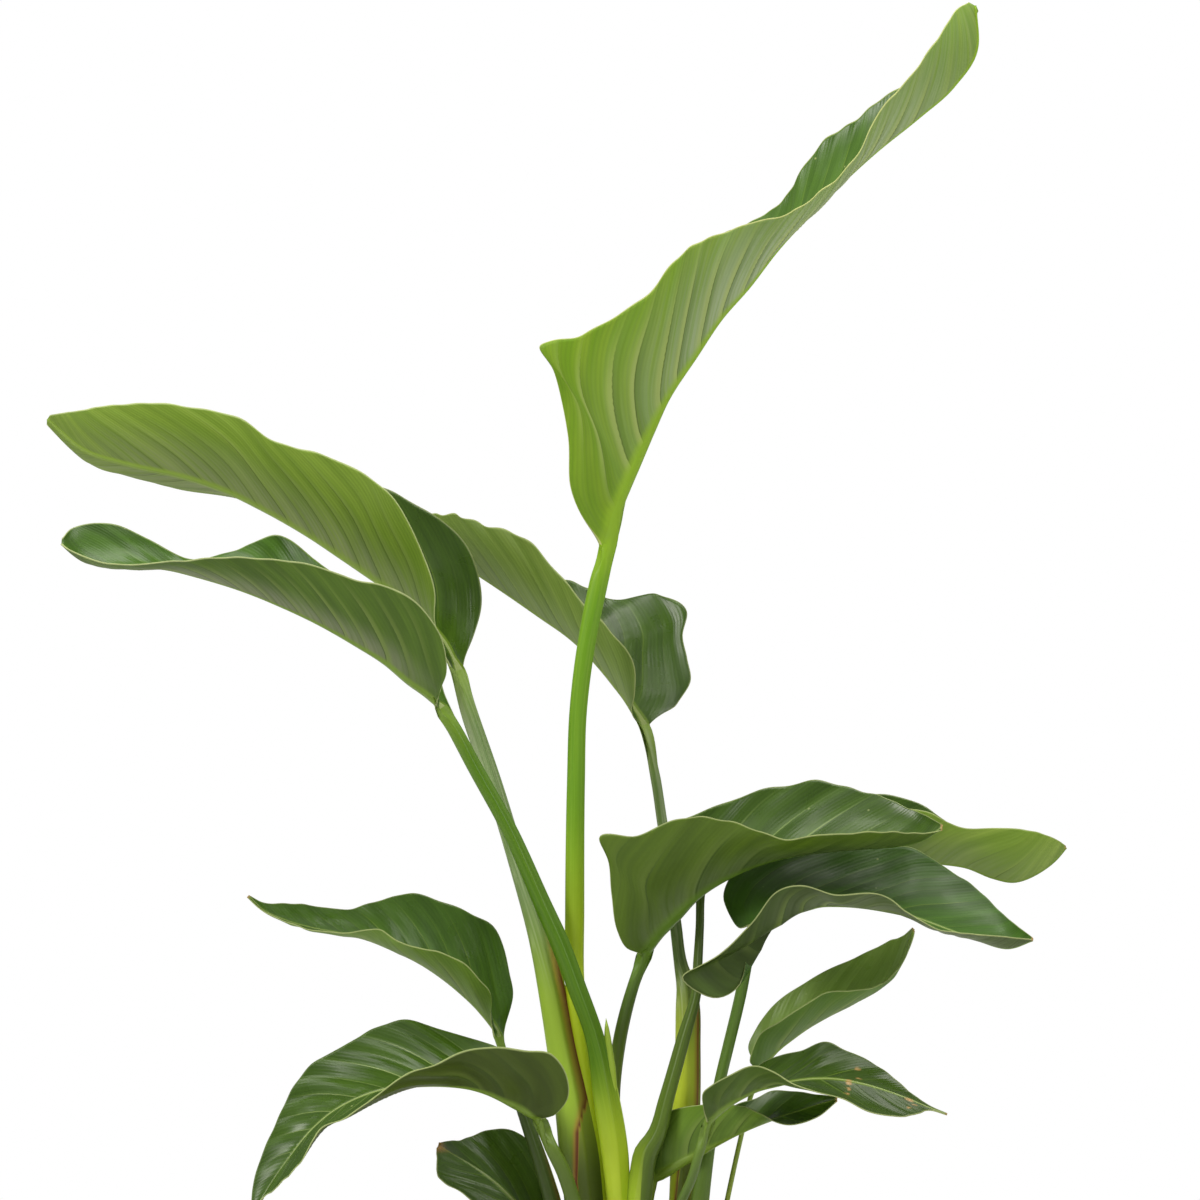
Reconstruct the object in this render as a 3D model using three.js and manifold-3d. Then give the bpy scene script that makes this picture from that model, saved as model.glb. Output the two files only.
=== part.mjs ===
// A potted bird of paradise: thirteen leaves, each one grown piece from its sheath to its tip,
// standing in a filled nursery pot. Millimetres, +Z up, the middle of the pot's foot at the origin,
// -Y towards the side the plant is looked at from.
import * as THREE from "three";
import Module from "manifold-3d";

const wasm = await Module();
wasm.setup();

// ---- Driving dimensions ----

// Pot
const POT_HEIGHT = 210;
const POT_RIM_RADIUS = 120; // outside of the rim band
const POT_FOOT_RADIUS = 86; // outside, at the floor
const POT_WALL = 2.4;
const POT_FLOOR = 3;
const FOOT_ROUND = 3;
const ROUND_MIDDLE = 0.3; // where a round's middle point lies, against its radius
const RIM_BAND_HEIGHT = 18;
const RIM_BAND_STEP = 3; // how far the band stands out from the wall under it
const RIM_ROUND = 1; // round of the rim's top edges
const DRAIN_HOLES = 8;
const DRAIN_HOLE_RADIUS = 6;
const DRAIN_CIRCLE_RADIUS = 58;
const POT_SEGMENTS = 72;
const DRAIN_SEGMENTS = 16;

// Soil
const SOIL_TOP = 184; // where it meets the wall
const SOIL_MOUND = 4; // how much higher it is at the middle
const SOIL_RINGS = 5;
const FIT_GAP = 0.3; // between the soil and the pot
const HOLE_CLEARANCE = 0.4; // round a stalk in the soil, and between nested sheaths

// Leaves
const STALK_FOOT_HEIGHT = 150; // every stalk's lower end, inside the soil
const BLADE_THICKNESS = 0.8;
const STALK_DEPTH_SHARE = 0.88; // a stalk's depth against its width
const CHANNEL_SHARE = 0.22; // depth of the channel along a stalk's upper side, against its depth
const RIB_TAPER = 2.2; // the midrib narrows as exp(-RIB_TAPER * share of the blade's length)
const RIB_TIP_HALF_WIDTH = 0.45;
const RIB_TIP_DEPTH = 1;
const RIB_TOP_SHARE = 0.2; // height of the midrib's upper side over its line, against its depth
const RIB_EDGE_SHARE = 0.45; // the same for the edges where the blade's halves begin
const RIB_BELOW_SHARE = 0.8; // how far the midrib stands out below its line
const RIB_FLANK_SHARE = 0.3;
const WING_SHARES = [1, 0.68, 0.34]; // rows of a half blade, from its margin to the midrib
const WING_BULGE = 0.1; // sag of a half blade towards its underside, against its width
const RIPPLE_HEIGHT = 1.4; // of the waves along the margins
const RIPPLE_TURN = 2.2; // radians of a wave from one station to the next
const FAR_RIPPLE_LAG = 1; // radians that the far margin's waves run behind
const STALK_RING_START = 10; // degrees from a stalk's side to the first point of its ring
const STALK_RING_STEP = 20;
const CHANNEL_STEPS = 2; // ring points from the channel's middle to its edge
const HALF_RING = 9; // points on the upper side of a ring, and as many below

// Which way a leaf leans, seen from -Y: it decides which side of the blade is the upper one.
const LEFT = 1;
const RIGHT = -1;

const LEAF_GREEN = { color: 0x3f6e27, roughness: 0.42 };
const YOUNG_GREEN = { color: 0x5d8f2c, roughness: 0.45 };
const DEEP_GREEN = { color: 0x2f5a22, roughness: 0.38 };

// ---- The leaves ----
// stalk: from the soil up, [x, y, z, half width], ending where the blade begins.
// blade: stations from its base to its tip, [midrib x, y, z, near margin x, y, z, far margin x, y, z];
// the near margin is the one towards -Y.

const LEAVES = [
  {
    name: "leaf_tall",
    finish: YOUNG_GREEN,
    leans: RIGHT,
    stalk: [
      [-24, 8, 184, 9],
      [-31, 8, 300, 8.3],
      [-38, 8, 360, 8],
      [-44, 8, 400, 7.5],
      [-49, 8, 450, 7.5],
      [-49, 8, 500, 7.5],
      [-48, 6, 600, 7],
      [-46.5, 5, 650, 6.8],
      [-40.5, 3, 700, 7],
      [-30.5, 1, 750, 7.2],
      [-23.5, 0, 777, 6.4],
    ],
    blade: [
      [-23.5, 0, 777, -31, -2, 777, -18.5, 5, 781],
      [-21.5, 0, 786, -45, -12, 800, -14, 28, 800],
      [-19.5, 0, 796, -52.5, -20, 820, -12, 50, 828],
      [-16, 1, 808, -54, -26, 858, -14, 66, 866],
      [-11, 2, 820, -64, -30, 906, -20, 74, 900],
      [-4, 4, 836, -75, -32, 924, -14, 78, 922],
      [8, 7, 862, -42, -30, 934.5, 0, 80, 944.5],
      [22, 11, 890, 1, -26, 959.5, 18, 80, 966],
      [41, 15, 918, 26, -20, 990.5, 35, 76, 986.5],
      [60, 18, 946, 51, -18, 1005.5, 55, 70, 1004.5],
      [82, 21, 971, 80, -20, 1016.5, 80, 66, 1020],
      [103, 24, 998, 110, -22, 1025, 105, 66, 1032],
      [126.5, 26, 1023.5, 138, -18, 1041, 120, 62, 1056],
      [151, 28, 1048, 161, -14, 1068, 140, 62, 1082],
      [179, 29, 1073, 180, -8, 1101, 165.5, 58, 1099.5],
      [209, 30, 1097, 204, 0, 1130, 192, 54, 1118.5],
      [236, 30, 1121, 224, 10, 1157, 220, 48, 1138],
      [253.5, 29, 1150, 237, 20, 1178, 242, 38, 1160],
      [252, 28, 1182, 247, 27, 1184, 254.5, 30, 1178],
    ],
  },
  {
    name: "leaf_upper_left",
    finish: LEAF_GREEN,
    leans: LEFT,
    stalk: [
      [-34, 4, 184, 17],
      [-41, 4, 285, 17],
      [-45, 4, 322, 17],
      [-50.5, 4, 360, 15],
      [-57.5, 5, 397, 13],
      [-64.5, 7, 435, 11.6],
      [-74.5, 10, 479, 9.3],
      [-92.5, 17, 540, 7.4],
      [-111, 25, 600, 7],
      [-129.5, 32, 654, 6.7],
      [-137, 35, 682, 6],
    ],
    blade: [
      [-137, 35, 682, -142, 30, 685, -133, 38, 680],
      [-141, 35, 690, -149, 20, 699, -132, 52, 690],
      [-148, 36, 703, -154, 12, 720, -125, 66, 708],
      [-160, 37, 718, -154, 8, 742, -120, 78, 730],
      [-176, 38, 735, -163, 8, 770, -123, 84, 758],
      [-200, 38, 751, -183, 10, 810, -138, 88, 786],
      [-224, 37, 767, -204, 14, 827, -166, 88, 805],
      [-250, 36, 784, -240, 18, 845, -200, 84, 822],
      [-280, 34, 801, -276, 22, 855, -246, 84, 826],
      [-310, 31, 816, -304, 22, 873, -290, 80, 817],
      [-345, 28, 828, -345, 20, 881, -334, 70, 818.5],
      [-385, 24, 837, -388, 20, 882.5, -380, 58, 828],
      [-418, 20, 848, -420, 18, 877.5, -416, 38, 839],
      [-445, 16, 871, -443, 15, 874, -445.5, 18, 867],
    ],
  },
  {
    name: "leaf_long_left",
    finish: DEEP_GREEN,
    leans: LEFT,
    // a short dry sheath tip stands off the stalk on its inner side
    spur: [
      [-19, -9, 340, 4.5],
      [-22.5, -9, 385, 4.2],
      [-24.5, -9, 409, 2.4],
      [-25.5, -9, 422, 0.5],
    ],
    stalk: [
      [-10, -8, 184, 10.5],
      [-16, -9, 285, 9.6],
      [-19, -9.5, 322, 11],
      [-25, -10, 360, 10.7],
      [-34.5, -11, 409, 7.7],
      [-47.5, -12, 445, 7.7],
      [-60.5, -13, 479, 7.8],
      [-73, -14, 507, 7.2],
      [-97.5, -16, 562, 6.4],
      [-125.5, -18, 613, 6],
      [-140, -19.5, 640, 5.7],
      [-149, -20, 654, 5.3],
    ],
    blade: [
      [-149, -20, 654, -152, -24, 655, -143, -15, 654],
      [-153, -21, 660, -149, -38, 668, -139, -6, 648],
      [-160, -23, 666, -144, -52, 684, -146, 6, 664],
      [-172, -25, 674, -147, -62, 705, -152, 14, 684],
      [-190, -28, 688.5, -160, -70, 726, -164, 18, 706],
      [-213, -31, 702.5, -182, -74, 743, -186, 18, 728],
      [-240, -34, 717.5, -212, -76, 750, -214, 14, 743.5],
      [-268, -37, 730.5, -245, -76, 761, -243, 6, 766],
      [-298, -40, 742.5, -280, -76, 767, -270, -2, 783.5],
      [-328, -43, 751.5, -315, -76, 766, -304, -8, 772],
      [-355, -46, 758, -348, -76, 764, -338, -14, 766],
      [-380, -49, 759.5, -378, -76, 762, -370, -20, 782],
      [-403, -52, 761, -404, -74, 764, -398, -30, 792.5],
      [-419, -55, 766, -424, -66, 772, -424, -44, 789],
      [-432, -57, 777, -432, -59, 777, -431, -55, 781],
    ],
  },
  {
    name: "leaf_back",
    finish: LEAF_GREEN,
    leans: LEFT,
    stalk: [
      [26, 10, 184, 10],
      [31, 16, 285, 9.5],
      [35, 16, 360, 11],
      [36, 16, 400, 10],
      [36, 18, 430, 9.5],
      [35, 20, 445, 8],
      [31, 25, 460, 5.5],
      [27, 32, 490, 4.7],
      [21, 42, 540, 4.3],
      [16.5, 46, 570, 4.1],
      [12, 48, 600, 4],
      [3, 50, 641, 4],
    ],
    blade: [
      [3, 50, 641, -2, 47, 644, 8, 54, 642],
      [0, 52, 646, -6, 38, 651, 16, 60, 649],
      [-4, 54, 652, -4, 30, 664, 27, 68, 658],
      [-10, 57, 661, -4, 26, 682, 38.5, 78, 672],
      [-18, 61, 671, -10, 26, 696, 36.5, 90, 690],
      [-28, 66, 683, -22, 30, 711, 33, 100, 708],
      [-40, 72, 696, -36, 36, 723, 35.5, 110, 727],
      [-54, 80, 708, -46, 44, 738, 12, 120, 740],
      [-72, 90, 720, -57, 54, 754, -18, 126, 736],
      [-94, 104, 735, -80, 70, 774.5, -48, 134, 746],
      [-118, 122, 751, -108, 92, 790, -86, 148, 762],
      [-145, 142, 768, -140, 118, 799, -124, 164, 772],
      [-168, 158, 783, -167, 142, 802, -158, 170, 784],
      [-188, 170, 799, -188, 168, 801, -189, 172, 797],
    ],
  },
  {
    name: "leaf_middle_right",
    finish: DEEP_GREEN,
    leans: RIGHT,
    stalk: [
      [-4, 14, 184, 7],
      [-12, 15, 285, 6.5],
      [-18, 15, 322, 5.8],
      [-20, 15, 360, 5.4],
      [-16, 15, 400, 5.4],
      [-9.5, 13, 430, 5],
      [-3.5, 11, 450, 4.7],
      [4, 8, 471, 5.5],
    ],
    blade: [
      [4, 8, 471, -1, 4, 470, 9, 12, 473],
      [7, 7, 475, -11, -8, 475, 10, 20, 484],
      [10, 6, 479, -19, -18, 490, 8, 24, 500],
      [14, 4, 484, -21.5, -26, 515, 8, 25, 520],
      [20, 2, 490, -23, -32, 538, 12, 25, 540],
      [28, 0, 498, -30.5, -36, 557, 16, 24, 552],
      [38, -3, 508, -4, -42, 559.5, 24, 22, 563.5],
      [52, -6, 519, 28, -46, 572, 40, 22, 573],
      [70, -9, 529, 52, -50, 572, 62, 24, 582],
      [92, -12, 538, 80, -52, 566, 86, 26, 591.5],
      [116, -15, 544, 108, -54, 556.5, 110, 27, 596],
      [142, -18, 547, 136, -54, 560.5, 136, 26, 598],
      [168, -21, 549, 166, -51, 561, 163, 20, 593],
      [192, -24, 551, 192, -44, 562, 190, 8, 584],
      [212, -27, 556, 212, -36, 561, 211, -8, 575],
      [226, -30, 565, 226, -32, 563, 226, -28, 567],
    ],
  },
  {
    name: "leaf_far_right",
    finish: LEAF_GREEN,
    leans: RIGHT,
    stalk: [
      [4, -8, 184, 9.5],
      [-1.5, -10, 285, 11],
      [1, -11, 303, 10],
      [4.5, -12, 321, 9.6],
      [12.5, -13, 335, 7.5],
      [19.5, -12, 360, 6.3],
      [33, -5, 408, 5.4],
      [42, 2, 440, 4.2],
      [43.5, 10, 464, 3.8],
      [45, 20, 490, 3.4],
      [46, 28, 515, 3.4],
      [50, 36, 532, 3.4],
      [54, 44, 540, 3.4],
    ],
    blade: [
      [54, 44, 540, 55, 40, 541, 52, 48, 542],
      [64, 50, 545, 62, 40, 552, 56, 62, 553],
      [80, 57, 549, 74, 41, 564, 70, 76, 564],
      [105, 63, 551, 98, 43, 574, 94, 86, 574],
      [135, 67, 551, 128, 46, 579, 124, 92, 581],
      [165, 69, 549, 160, 49, 581, 156, 94, 587],
      [195, 69, 544, 191, 51, 579, 188, 94, 587],
      [222, 67, 537, 219, 52, 574, 216, 90, 579],
      [247, 64, 533, 243, 51, 564.5, 242, 84, 562],
      [266, 60, 525.5, 266, 48, 563.5, 262, 78, 559],
      [284, 56, 522.8, 288, 44, 562, 284, 72, 556],
      [302, 52, 530.5, 304, 44, 559, 303, 66, 553],
      [314, 50, 540, 315, 44, 554, 314, 58, 551],
      [321, 48, 548.5, 320.5, 47, 550, 320, 50, 549],
    ],
  },
  {
    name: "leaf_lower_right",
    finish: DEEP_GREEN,
    leans: RIGHT,
    stalk: [
      [36, 2, 184, 9],
      [44, 2, 285, 9],
      [48, 1, 310, 7.5],
      [53, 1, 335, 5.5],
      [60, -2, 375, 5],
      [66, -3, 400, 5],
      [75.5, -5, 440, 5],
      [82, -7, 475, 5],
      [87.5, -8, 491, 4.6],
    ],
    blade: [
      [87.5, -8, 491, 84, -12, 488, 83, -3, 492],
      [92, -9, 495.5, 80, -24, 471, 74.5, 8, 489],
      [98, -11, 498, 73.5, -36, 446, 67.5, 18, 497],
      [105, -13, 500, 56, -44, 437, 62.5, 26, 511],
      [111, -15, 502, 31, -46, 452, 68, 32, 528],
      [118, -17, 503, 60, -46, 471, 80, 36, 540],
      [126, -19, 505, 82, -48, 492, 96, 38, 546],
      [136, -21, 507, 100, -52, 516, 116, 38, 549],
      [148, -23, 507, 122, -56, 523, 138, 38, 550],
      [163, -26, 506, 146, -60, 514, 160, 36, 550],
      [182, -30, 503, 176, -64, 516.5, 182, 32, 550],
      [204, -35, 498, 200, -66, 503, 206, 26, 548],
      [228, -41, 489.5, 222, -66, 489, 232, 16, 532],
      [252, -47, 481, 250, -66, 486, 256, 0, 516],
      [275, -53, 475, 274, -64, 484, 276, -22, 496],
      [293, -58, 481, 293, -60, 482, 293, -54, 483],
    ],
  },
  {
    name: "leaf_small_right",
    finish: YOUNG_GREEN,
    leans: RIGHT,
    stalk: [
      [50, 10, 184, 3],
      [55, 10, 230, 2.6],
      [66, 10, 287, 2.1],
      [77, 11, 337, 2],
      [83, 12, 362, 2],
      [89, 14, 383.5, 2.6],
    ],
    blade: [
      [89, 14, 383.5, 85, 10, 384.5, 92, 18, 385.5],
      [93, 14, 386.5, 82, -2, 389.5, 84, 28, 391.5],
      [98, 15, 391.5, 84, -8, 399.5, 81, 34, 399.5],
      [104, 16, 397.5, 90, -12, 410.5, 87, 38, 411.5],
      [113, 18, 404.5, 104, -14, 418.5, 96, 42, 424.5],
      [126, 20, 413.5, 120, -14, 430.5, 110, 44, 437.5],
      [142, 22, 422.5, 138, -12, 439.5, 128, 46, 448],
      [160, 25, 431.5, 158, -8, 442.5, 150, 48, 461.5],
      [178, 28, 443, 178, 2, 446.5, 172, 50, 470.5],
      [190, 32, 453.5, 189, 14, 451.5, 188, 50, 477.5],
      [199, 36, 469.5, 200, 28, 468.5, 198, 48, 482.5],
      [206, 40, 487.5, 207, 39, 485.5, 205, 42, 488.5],
    ],
  },
  {
    name: "leaf_small_front",
    finish: LEAF_GREEN,
    leans: RIGHT,
    stalk: [
      [14, -24, 184, 5],
      [22, -36, 240, 4],
      [31, -48, 286, 3.8],
      [38, -54, 302, 3.8],
      [44, -58, 322, 3.8],
      [52, -62, 347, 4],
    ],
    blade: [
      [52, -62, 347, 49, -65, 346, 55, -59, 348],
      [56, -63, 351, 47, -74, 355, 57, -52, 356],
      [61, -64, 355, 46, -82, 367, 62, -44, 363],
      [68, -65, 360, 52, -88, 373, 70, -38, 371],
      [77, -67, 365, 66, -94, 381, 80, -34, 381],
      [88, -70, 370, 82, -98, 389, 92, -34, 391],
      [100, -73, 373, 98, -102, 384, 106, -38, 394],
      [113, -76, 376, 113, -108, 375.5, 120, -44, 398.5],
      [128, -80, 378, 130, -114, 372, 136, -50, 404.5],
      [146, -84, 378, 150, -118, 364, 154, -56, 398],
      [164, -89, 375, 170, -120, 355, 172, -64, 392],
      [182, -94, 370, 190, -118, 352, 188, -76, 379],
      [199, -99, 364, 205, -112, 353, 203, -90, 367],
      [216, -104, 357, 216, -106, 356, 216, -102, 359],
      [228, -107, 353, 228, -108.5, 352.6, 228, -105.5, 353.6],
    ],
  },
  {
    name: "leaf_low_right",
    finish: LEAF_GREEN,
    leans: RIGHT,
    stalk: [
      [11, 6, 184, 3.8],
      [7, 5, 285, 3.6],
      [10, 3, 299, 3.5],
    ],
    blade: [
      [10, 3, 299, 8, 1, 301, 12, 5, 299],
      [15, 0, 303, 8, 4, 314, 14, 6, 306],
      [22, -5, 308, 10, 2, 333, 24, 0, 312],
      [32, -9, 314, 16, 1, 348, 36, -3, 328],
      [44, -14, 320, 32, -12, 354, 46, -7, 340],
      [57, -19, 327, 50, -28, 358, 58, -12, 348],
      [71, -24, 334, 68, -36, 358, 72, -10, 356],
      [86, -29, 341, 84, -42, 354.5, 86, -12, 362],
      [101, -33, 347, 98, -48, 348, 99, -14, 367],
      [116, -37, 352, 113, -52, 343, 115, -18, 367],
      [131, -41, 357, 130, -50, 347.5, 131, -26, 365.5],
      [147, -45, 362, 147, -47, 361, 147, -43, 364],
    ],
  },
  {
    name: "leaf_left",
    finish: DEEP_GREEN,
    leans: LEFT,
    stalk: [
      [-50, 0, 184, 9],
      [-56, 0, 230, 8],
      [-66, 0, 285, 7],
      [-72, 0, 305, 6.5],
      [-82, 0, 335, 5.5],
      [-95, 2, 372, 4],
      [-104, 3.5, 400, 3.4],
      [-106, 4, 407, 3.4],
    ],
    blade: [
      [-106, 4, 407, -109, 1, 408, -102, 8, 408],
      [-107, 4, 411, -111, -8, 418, -101, 14, 415],
      [-110, 3, 416, -111, -16, 431, -95, 22, 438],
      [-115, 2, 422, -112, -24, 442, -98, 28, 455],
      [-123, 1, 431, -120, -30, 451, -102, 34, 474],
      [-134, 0, 441, -131, -34, 464, -110, 36, 490],
      [-148, 0, 452, -147, -36, 470, -128, 32, 499],
      [-165, 0, 463, -164, -36, 474, -148, 30, 508],
      [-184, 1, 472, -180, -33, 481, -172, 30, 515],
      [-204, 3, 480, -196, -28, 488, -196, 30, 508],
      [-225, 6, 485, -218, -20, 486, -220, 28, 503.5],
      [-247, 9, 489, -242, -10, 488, -245, 27, 505],
      [-270, 13, 496, -266, 2, 494, -268, 22, 507],
      [-284, 16, 503, -283, 13, 502, -283, 20, 508],
      [-294, 18, 513, -295, 17, 512, -293, 19, 513],
    ],
  },
  {
    name: "leaf_lower_left",
    finish: DEEP_GREEN,
    leans: LEFT,
    stalk: [
      [-36, -18, 184, 8.5],
      [-41, -24, 240, 7],
      [-50.5, -30, 287, 6.2],
      [-57.5, -35, 308, 6],
      [-67, -40, 327, 5.5],
      [-76, -44, 348.5, 4.8],
    ],
    blade: [
      [-76, -44, 348.5, -72, -48, 348.5, -79, -40, 350.5],
      [-80, -45, 350.5, -63, -58, 351.5, -78, -32, 355.5],
      [-84, -46, 352.5, -54, -66, 363.5, -76, -24, 363.5],
      [-89, -47, 355.5, -55, -74, 381.5, -78, -18, 373.5],
      [-95, -49, 358.5, -66, -80, 396.5, -82, -14, 383.5],
      [-103, -51, 362.5, -86, -84, 399, -92, -12, 391.5],
      [-114, -54, 367.5, -108, -88, 402, -108, -12, 399.5],
      [-128, -58, 371.5, -132, -92, 399, -128, -14, 407.5],
      [-145, -62, 373.5, -154, -106, 391, -150, -18, 414.5],
      [-164, -66, 373.5, -176, -110, 380.5, -176, -24, 420.5],
      [-184, -71, 371.5, -197, -114, 365.5, -198, -32, 415],
      [-205, -77, 366, -218, -118, 352, -220, -42, 402.5],
      [-226, -84, 356, -238, -122, 341, -243, -54, 390],
      [-244.5, -92, 341, -253.5, -122, 316.5, -260.5, -68, 369],
      [-261.5, -100, 320, -269.5, -118, 299.5, -273.5, -84, 341],
      [-276.5, -108, 298, -281.5, -118, 290, -287.5, -100, 303],
      [-287.5, -113, 279, -287.5, -115, 279, -289.5, -111, 282],
    ],
  },
  {
    name: "leaf_lowest",
    finish: LEAF_GREEN,
    leans: LEFT,
    stalk: [
      [-54, 15, 184, 6],
      [-58, 16, 215, 4.5],
      [-64, 16, 241.5, 4],
    ],
    blade: [
      [-64, 16, 241.5, -68, 14, 239.5, -61, 18, 244.5],
      [-67, 15, 247.5, -80, 6, 242.5, -62, 22, 263.5],
      [-72, 14, 255.5, -94, 0, 249.5, -64, 26, 286.5],
      [-80, 12, 266.5, -108, -6, 261.5, -72, 27, 311.5],
      [-90, 9, 278.5, -120, -12, 277.5, -86, 26, 331.5],
      [-101, 5, 290.5, -134, -18, 291.5, -104, 22, 337.5],
      [-113, 0, 301.5, -146, -22, 298, -122, 14, 334.5],
      [-127, -6, 311.5, -151.5, -22, 306, -136, 4, 329.5],
      [-140, -12, 319.5, -152, -20, 318.5, -145, -6, 329.5],
      [-151, -17, 326.5, -152, -18, 324.5, -150, -16, 328.5],
    ],
  },
];

// Which stalks lie inside a leaf's sheath: the sheath is cut back round each of them.
const SHEATHED_BY = {
  leaf_upper_left: ["leaf_tall", "leaf_long_left"],
  leaf_left: ["leaf_upper_left"],
  leaf_lower_left: ["leaf_upper_left", "leaf_left", "leaf_long_left"],
  leaf_lowest: ["leaf_left", "leaf_upper_left"],
  leaf_far_right: ["leaf_long_left"],
  leaf_lower_right: ["leaf_back"],
};

// ---- Small helpers ----

function vec(x, y, z) {
  return new THREE.Vector3(x, y, z);
}

function along(start, direction, distance) {
  return start.clone().addScaledVector(direction, distance);
}

/** The part of a direction square to an axis, at unit length. */
function squareTo(axis, direction) {
  return along(direction, axis, -direction.dot(axis)).normalize();
}

/** Unit directions of a path at its points. */
function tangentsOf(points) {
  const last = points.length - 1;
  return points.map((_, i) =>
    points[Math.min(i + 1, last)].clone().sub(points[Math.max(i - 1, 0)]).normalize(),
  );
}

/** A closed solid from vertices and triangles, turned to face outwards. */
function solidFrom(vertices, triangles) {
  let volume = 0;
  for (const [a, b, c] of triangles) {
    volume += vertices[a].dot(vertices[b].clone().cross(vertices[c]));
  }
  const facing = volume > 0 ? triangles : triangles.map(([a, b, c]) => [a, c, b]);
  return new wasm.Manifold(
    new wasm.Mesh({
      numProp: 3,
      vertProperties: new Float32Array(vertices.flatMap((v) => v.toArray())),
      triVerts: new Uint32Array(facing.flat()),
    }),
  );
}

/** A closed skin over rings of points; each ring runs over the top and back along the underside. */
function skinRings(rings) {
  const size = rings[0].length;
  const half = size / 2;
  const triangles = [];
  const at = (ring, point) => ring * size + (point % size);
  for (let i = 0; i + 1 < rings.length; i++) {
    for (let k = 0; k < size; k++) {
      const [a, b, c, d] = [at(i, k), at(i + 1, k), at(i + 1, k + 1), at(i, k + 1)];
      // the underside is split along the same lines as the top
      if (k < half) {
        triangles.push([a, b, c], [a, c, d]);
      } else {
        triangles.push([a, b, d], [b, c, d]);
      }
    }
  }
  const last = rings.length - 1;
  for (let k = 0; k + 1 < half; k++) {
    const under = size - 1 - k;
    triangles.push([at(0, k), at(0, k + 1), at(0, under)]);
    triangles.push([at(0, k + 1), at(0, under - 1), at(0, under)]);
    triangles.push([at(last, k), at(last, under), at(last, k + 1)]);
    triangles.push([at(last, k + 1), at(last, under), at(last, under - 1)]);
  }
  return solidFrom(rings.flat(), triangles);
}

/** A solid of revolution whose profile runs from the axis round to the axis, [radius, height]. */
function lathe(profile, segments) {
  const vertices = [vec(0, 0, profile[0][1])];
  const triangles = [];
  const rows = profile.slice(1, -1);
  for (const [radius, height] of rows) {
    for (let s = 0; s < segments; s++) {
      const turn = (2 * Math.PI * s) / segments;
      vertices.push(vec(radius * Math.cos(turn), radius * Math.sin(turn), height));
    }
  }
  const end = vertices.push(vec(0, 0, profile[profile.length - 1][1])) - 1;
  const at = (row, s) => 1 + row * segments + (s % segments);
  for (let s = 0; s < segments; s++) {
    triangles.push([0, at(0, s + 1), at(0, s)]);
    for (let row = 0; row + 1 < rows.length; row++) {
      triangles.push([at(row, s), at(row, s + 1), at(row + 1, s + 1)]);
      triangles.push([at(row, s), at(row + 1, s + 1), at(row + 1, s)]);
    }
    triangles.push([at(rows.length - 1, s), at(rows.length - 1, s + 1), end]);
  }
  return solidFrom(vertices, triangles);
}

/** A named mesh of a solid's largest body; crumbs that a cut leaves are dropped. */
function meshOf(name, solid, finish) {
  const bodies = solid.decompose();
  bodies.sort((a, b) => b.volume() - a.volume());
  const { numProp, vertProperties, triVerts } = bodies[0].getMesh();
  const positions = [];
  for (let i = 0; i < vertProperties.length; i += numProp) {
    positions.push(vertProperties[i], vertProperties[i + 1], vertProperties[i + 2]);
  }
  const geometry = new THREE.BufferGeometry();
  geometry.setAttribute("position", new THREE.Float32BufferAttribute(positions, 3));
  geometry.setIndex([...triVerts]);
  geometry.computeVertexNormals();
  const mesh = new THREE.Mesh(geometry, new THREE.MeshStandardMaterial({ metalness: 0, ...finish }));
  mesh.name = name;
  return mesh;
}

// ---- Leaf: frames along its line ----

/** Points of a leaf's line from the stalk's foot to the blade's tip, with its stalk rings marked. */
function lineOf(leaf) {
  const foot = leaf.stalk[0];
  const stalk = [[foot[0], foot[1], STALK_FOOT_HEIGHT, foot[3]], ...leaf.stalk.slice(0, -1)];
  const points = [...stalk, ...leaf.blade].map(([x, y, z]) => vec(x, y, z));
  return { stalk, points, tangents: tangentsOf(points) };
}

/** Side and up directions at every point of a leaf's line: from the margins on the blade, and carried
 * down the stalk without a twist. */
function framesOf(leaf, line) {
  const first = line.stalk.length;
  const sides = [];
  leaf.blade.forEach(([, , , nx, ny, nz, fx, fy, fz], i) => {
    sides[first + i] = squareTo(line.tangents[first + i], vec(nx - fx, ny - fy, nz - fz));
  });
  for (let i = first - 1; i >= 0; i--) {
    sides[i] = squareTo(line.tangents[i], sides[i + 1]);
  }
  return sides.map((side, i) => ({
    side,
    up: line.tangents[i].clone().cross(side).multiplyScalar(leaf.leans),
  }));
}

/** An elliptical ring round a stalk, its upper side first. */
function stalkRing(centre, frame, halfWidth, depth, channel) {
  const point = (degrees, sink) => {
    const turn = THREE.MathUtils.degToRad(degrees);
    const out = along(centre, frame.side, halfWidth * Math.cos(turn));
    return along(out, frame.up, depth * Math.sin(turn) - sink);
  };
  const angles = Array.from({ length: HALF_RING }, (_, k) => STALK_RING_START + k * STALK_RING_STEP);
  const middle = (HALF_RING - 1) / 2;
  const sinks = angles.map((_, k) => channel * Math.max(0, 1 - Math.abs(k - middle) / CHANNEL_STEPS));
  const upper = angles.map((degrees, k) => point(degrees, sinks[k]));
  const lower = angles.map((degrees) => point(-degrees, 0)).reverse();
  return [...upper, ...lower];
}

// ---- Leaf: the blade ----

/** Share of the blade's length at each of its stations. */
function sharesOf(points) {
  const lengths = [0];
  for (let i = 1; i < points.length; i++) {
    lengths.push(lengths[i - 1] + points[i].distanceTo(points[i - 1]));
  }
  return lengths.map((length) => length / lengths[points.length - 1]);
}

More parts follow.
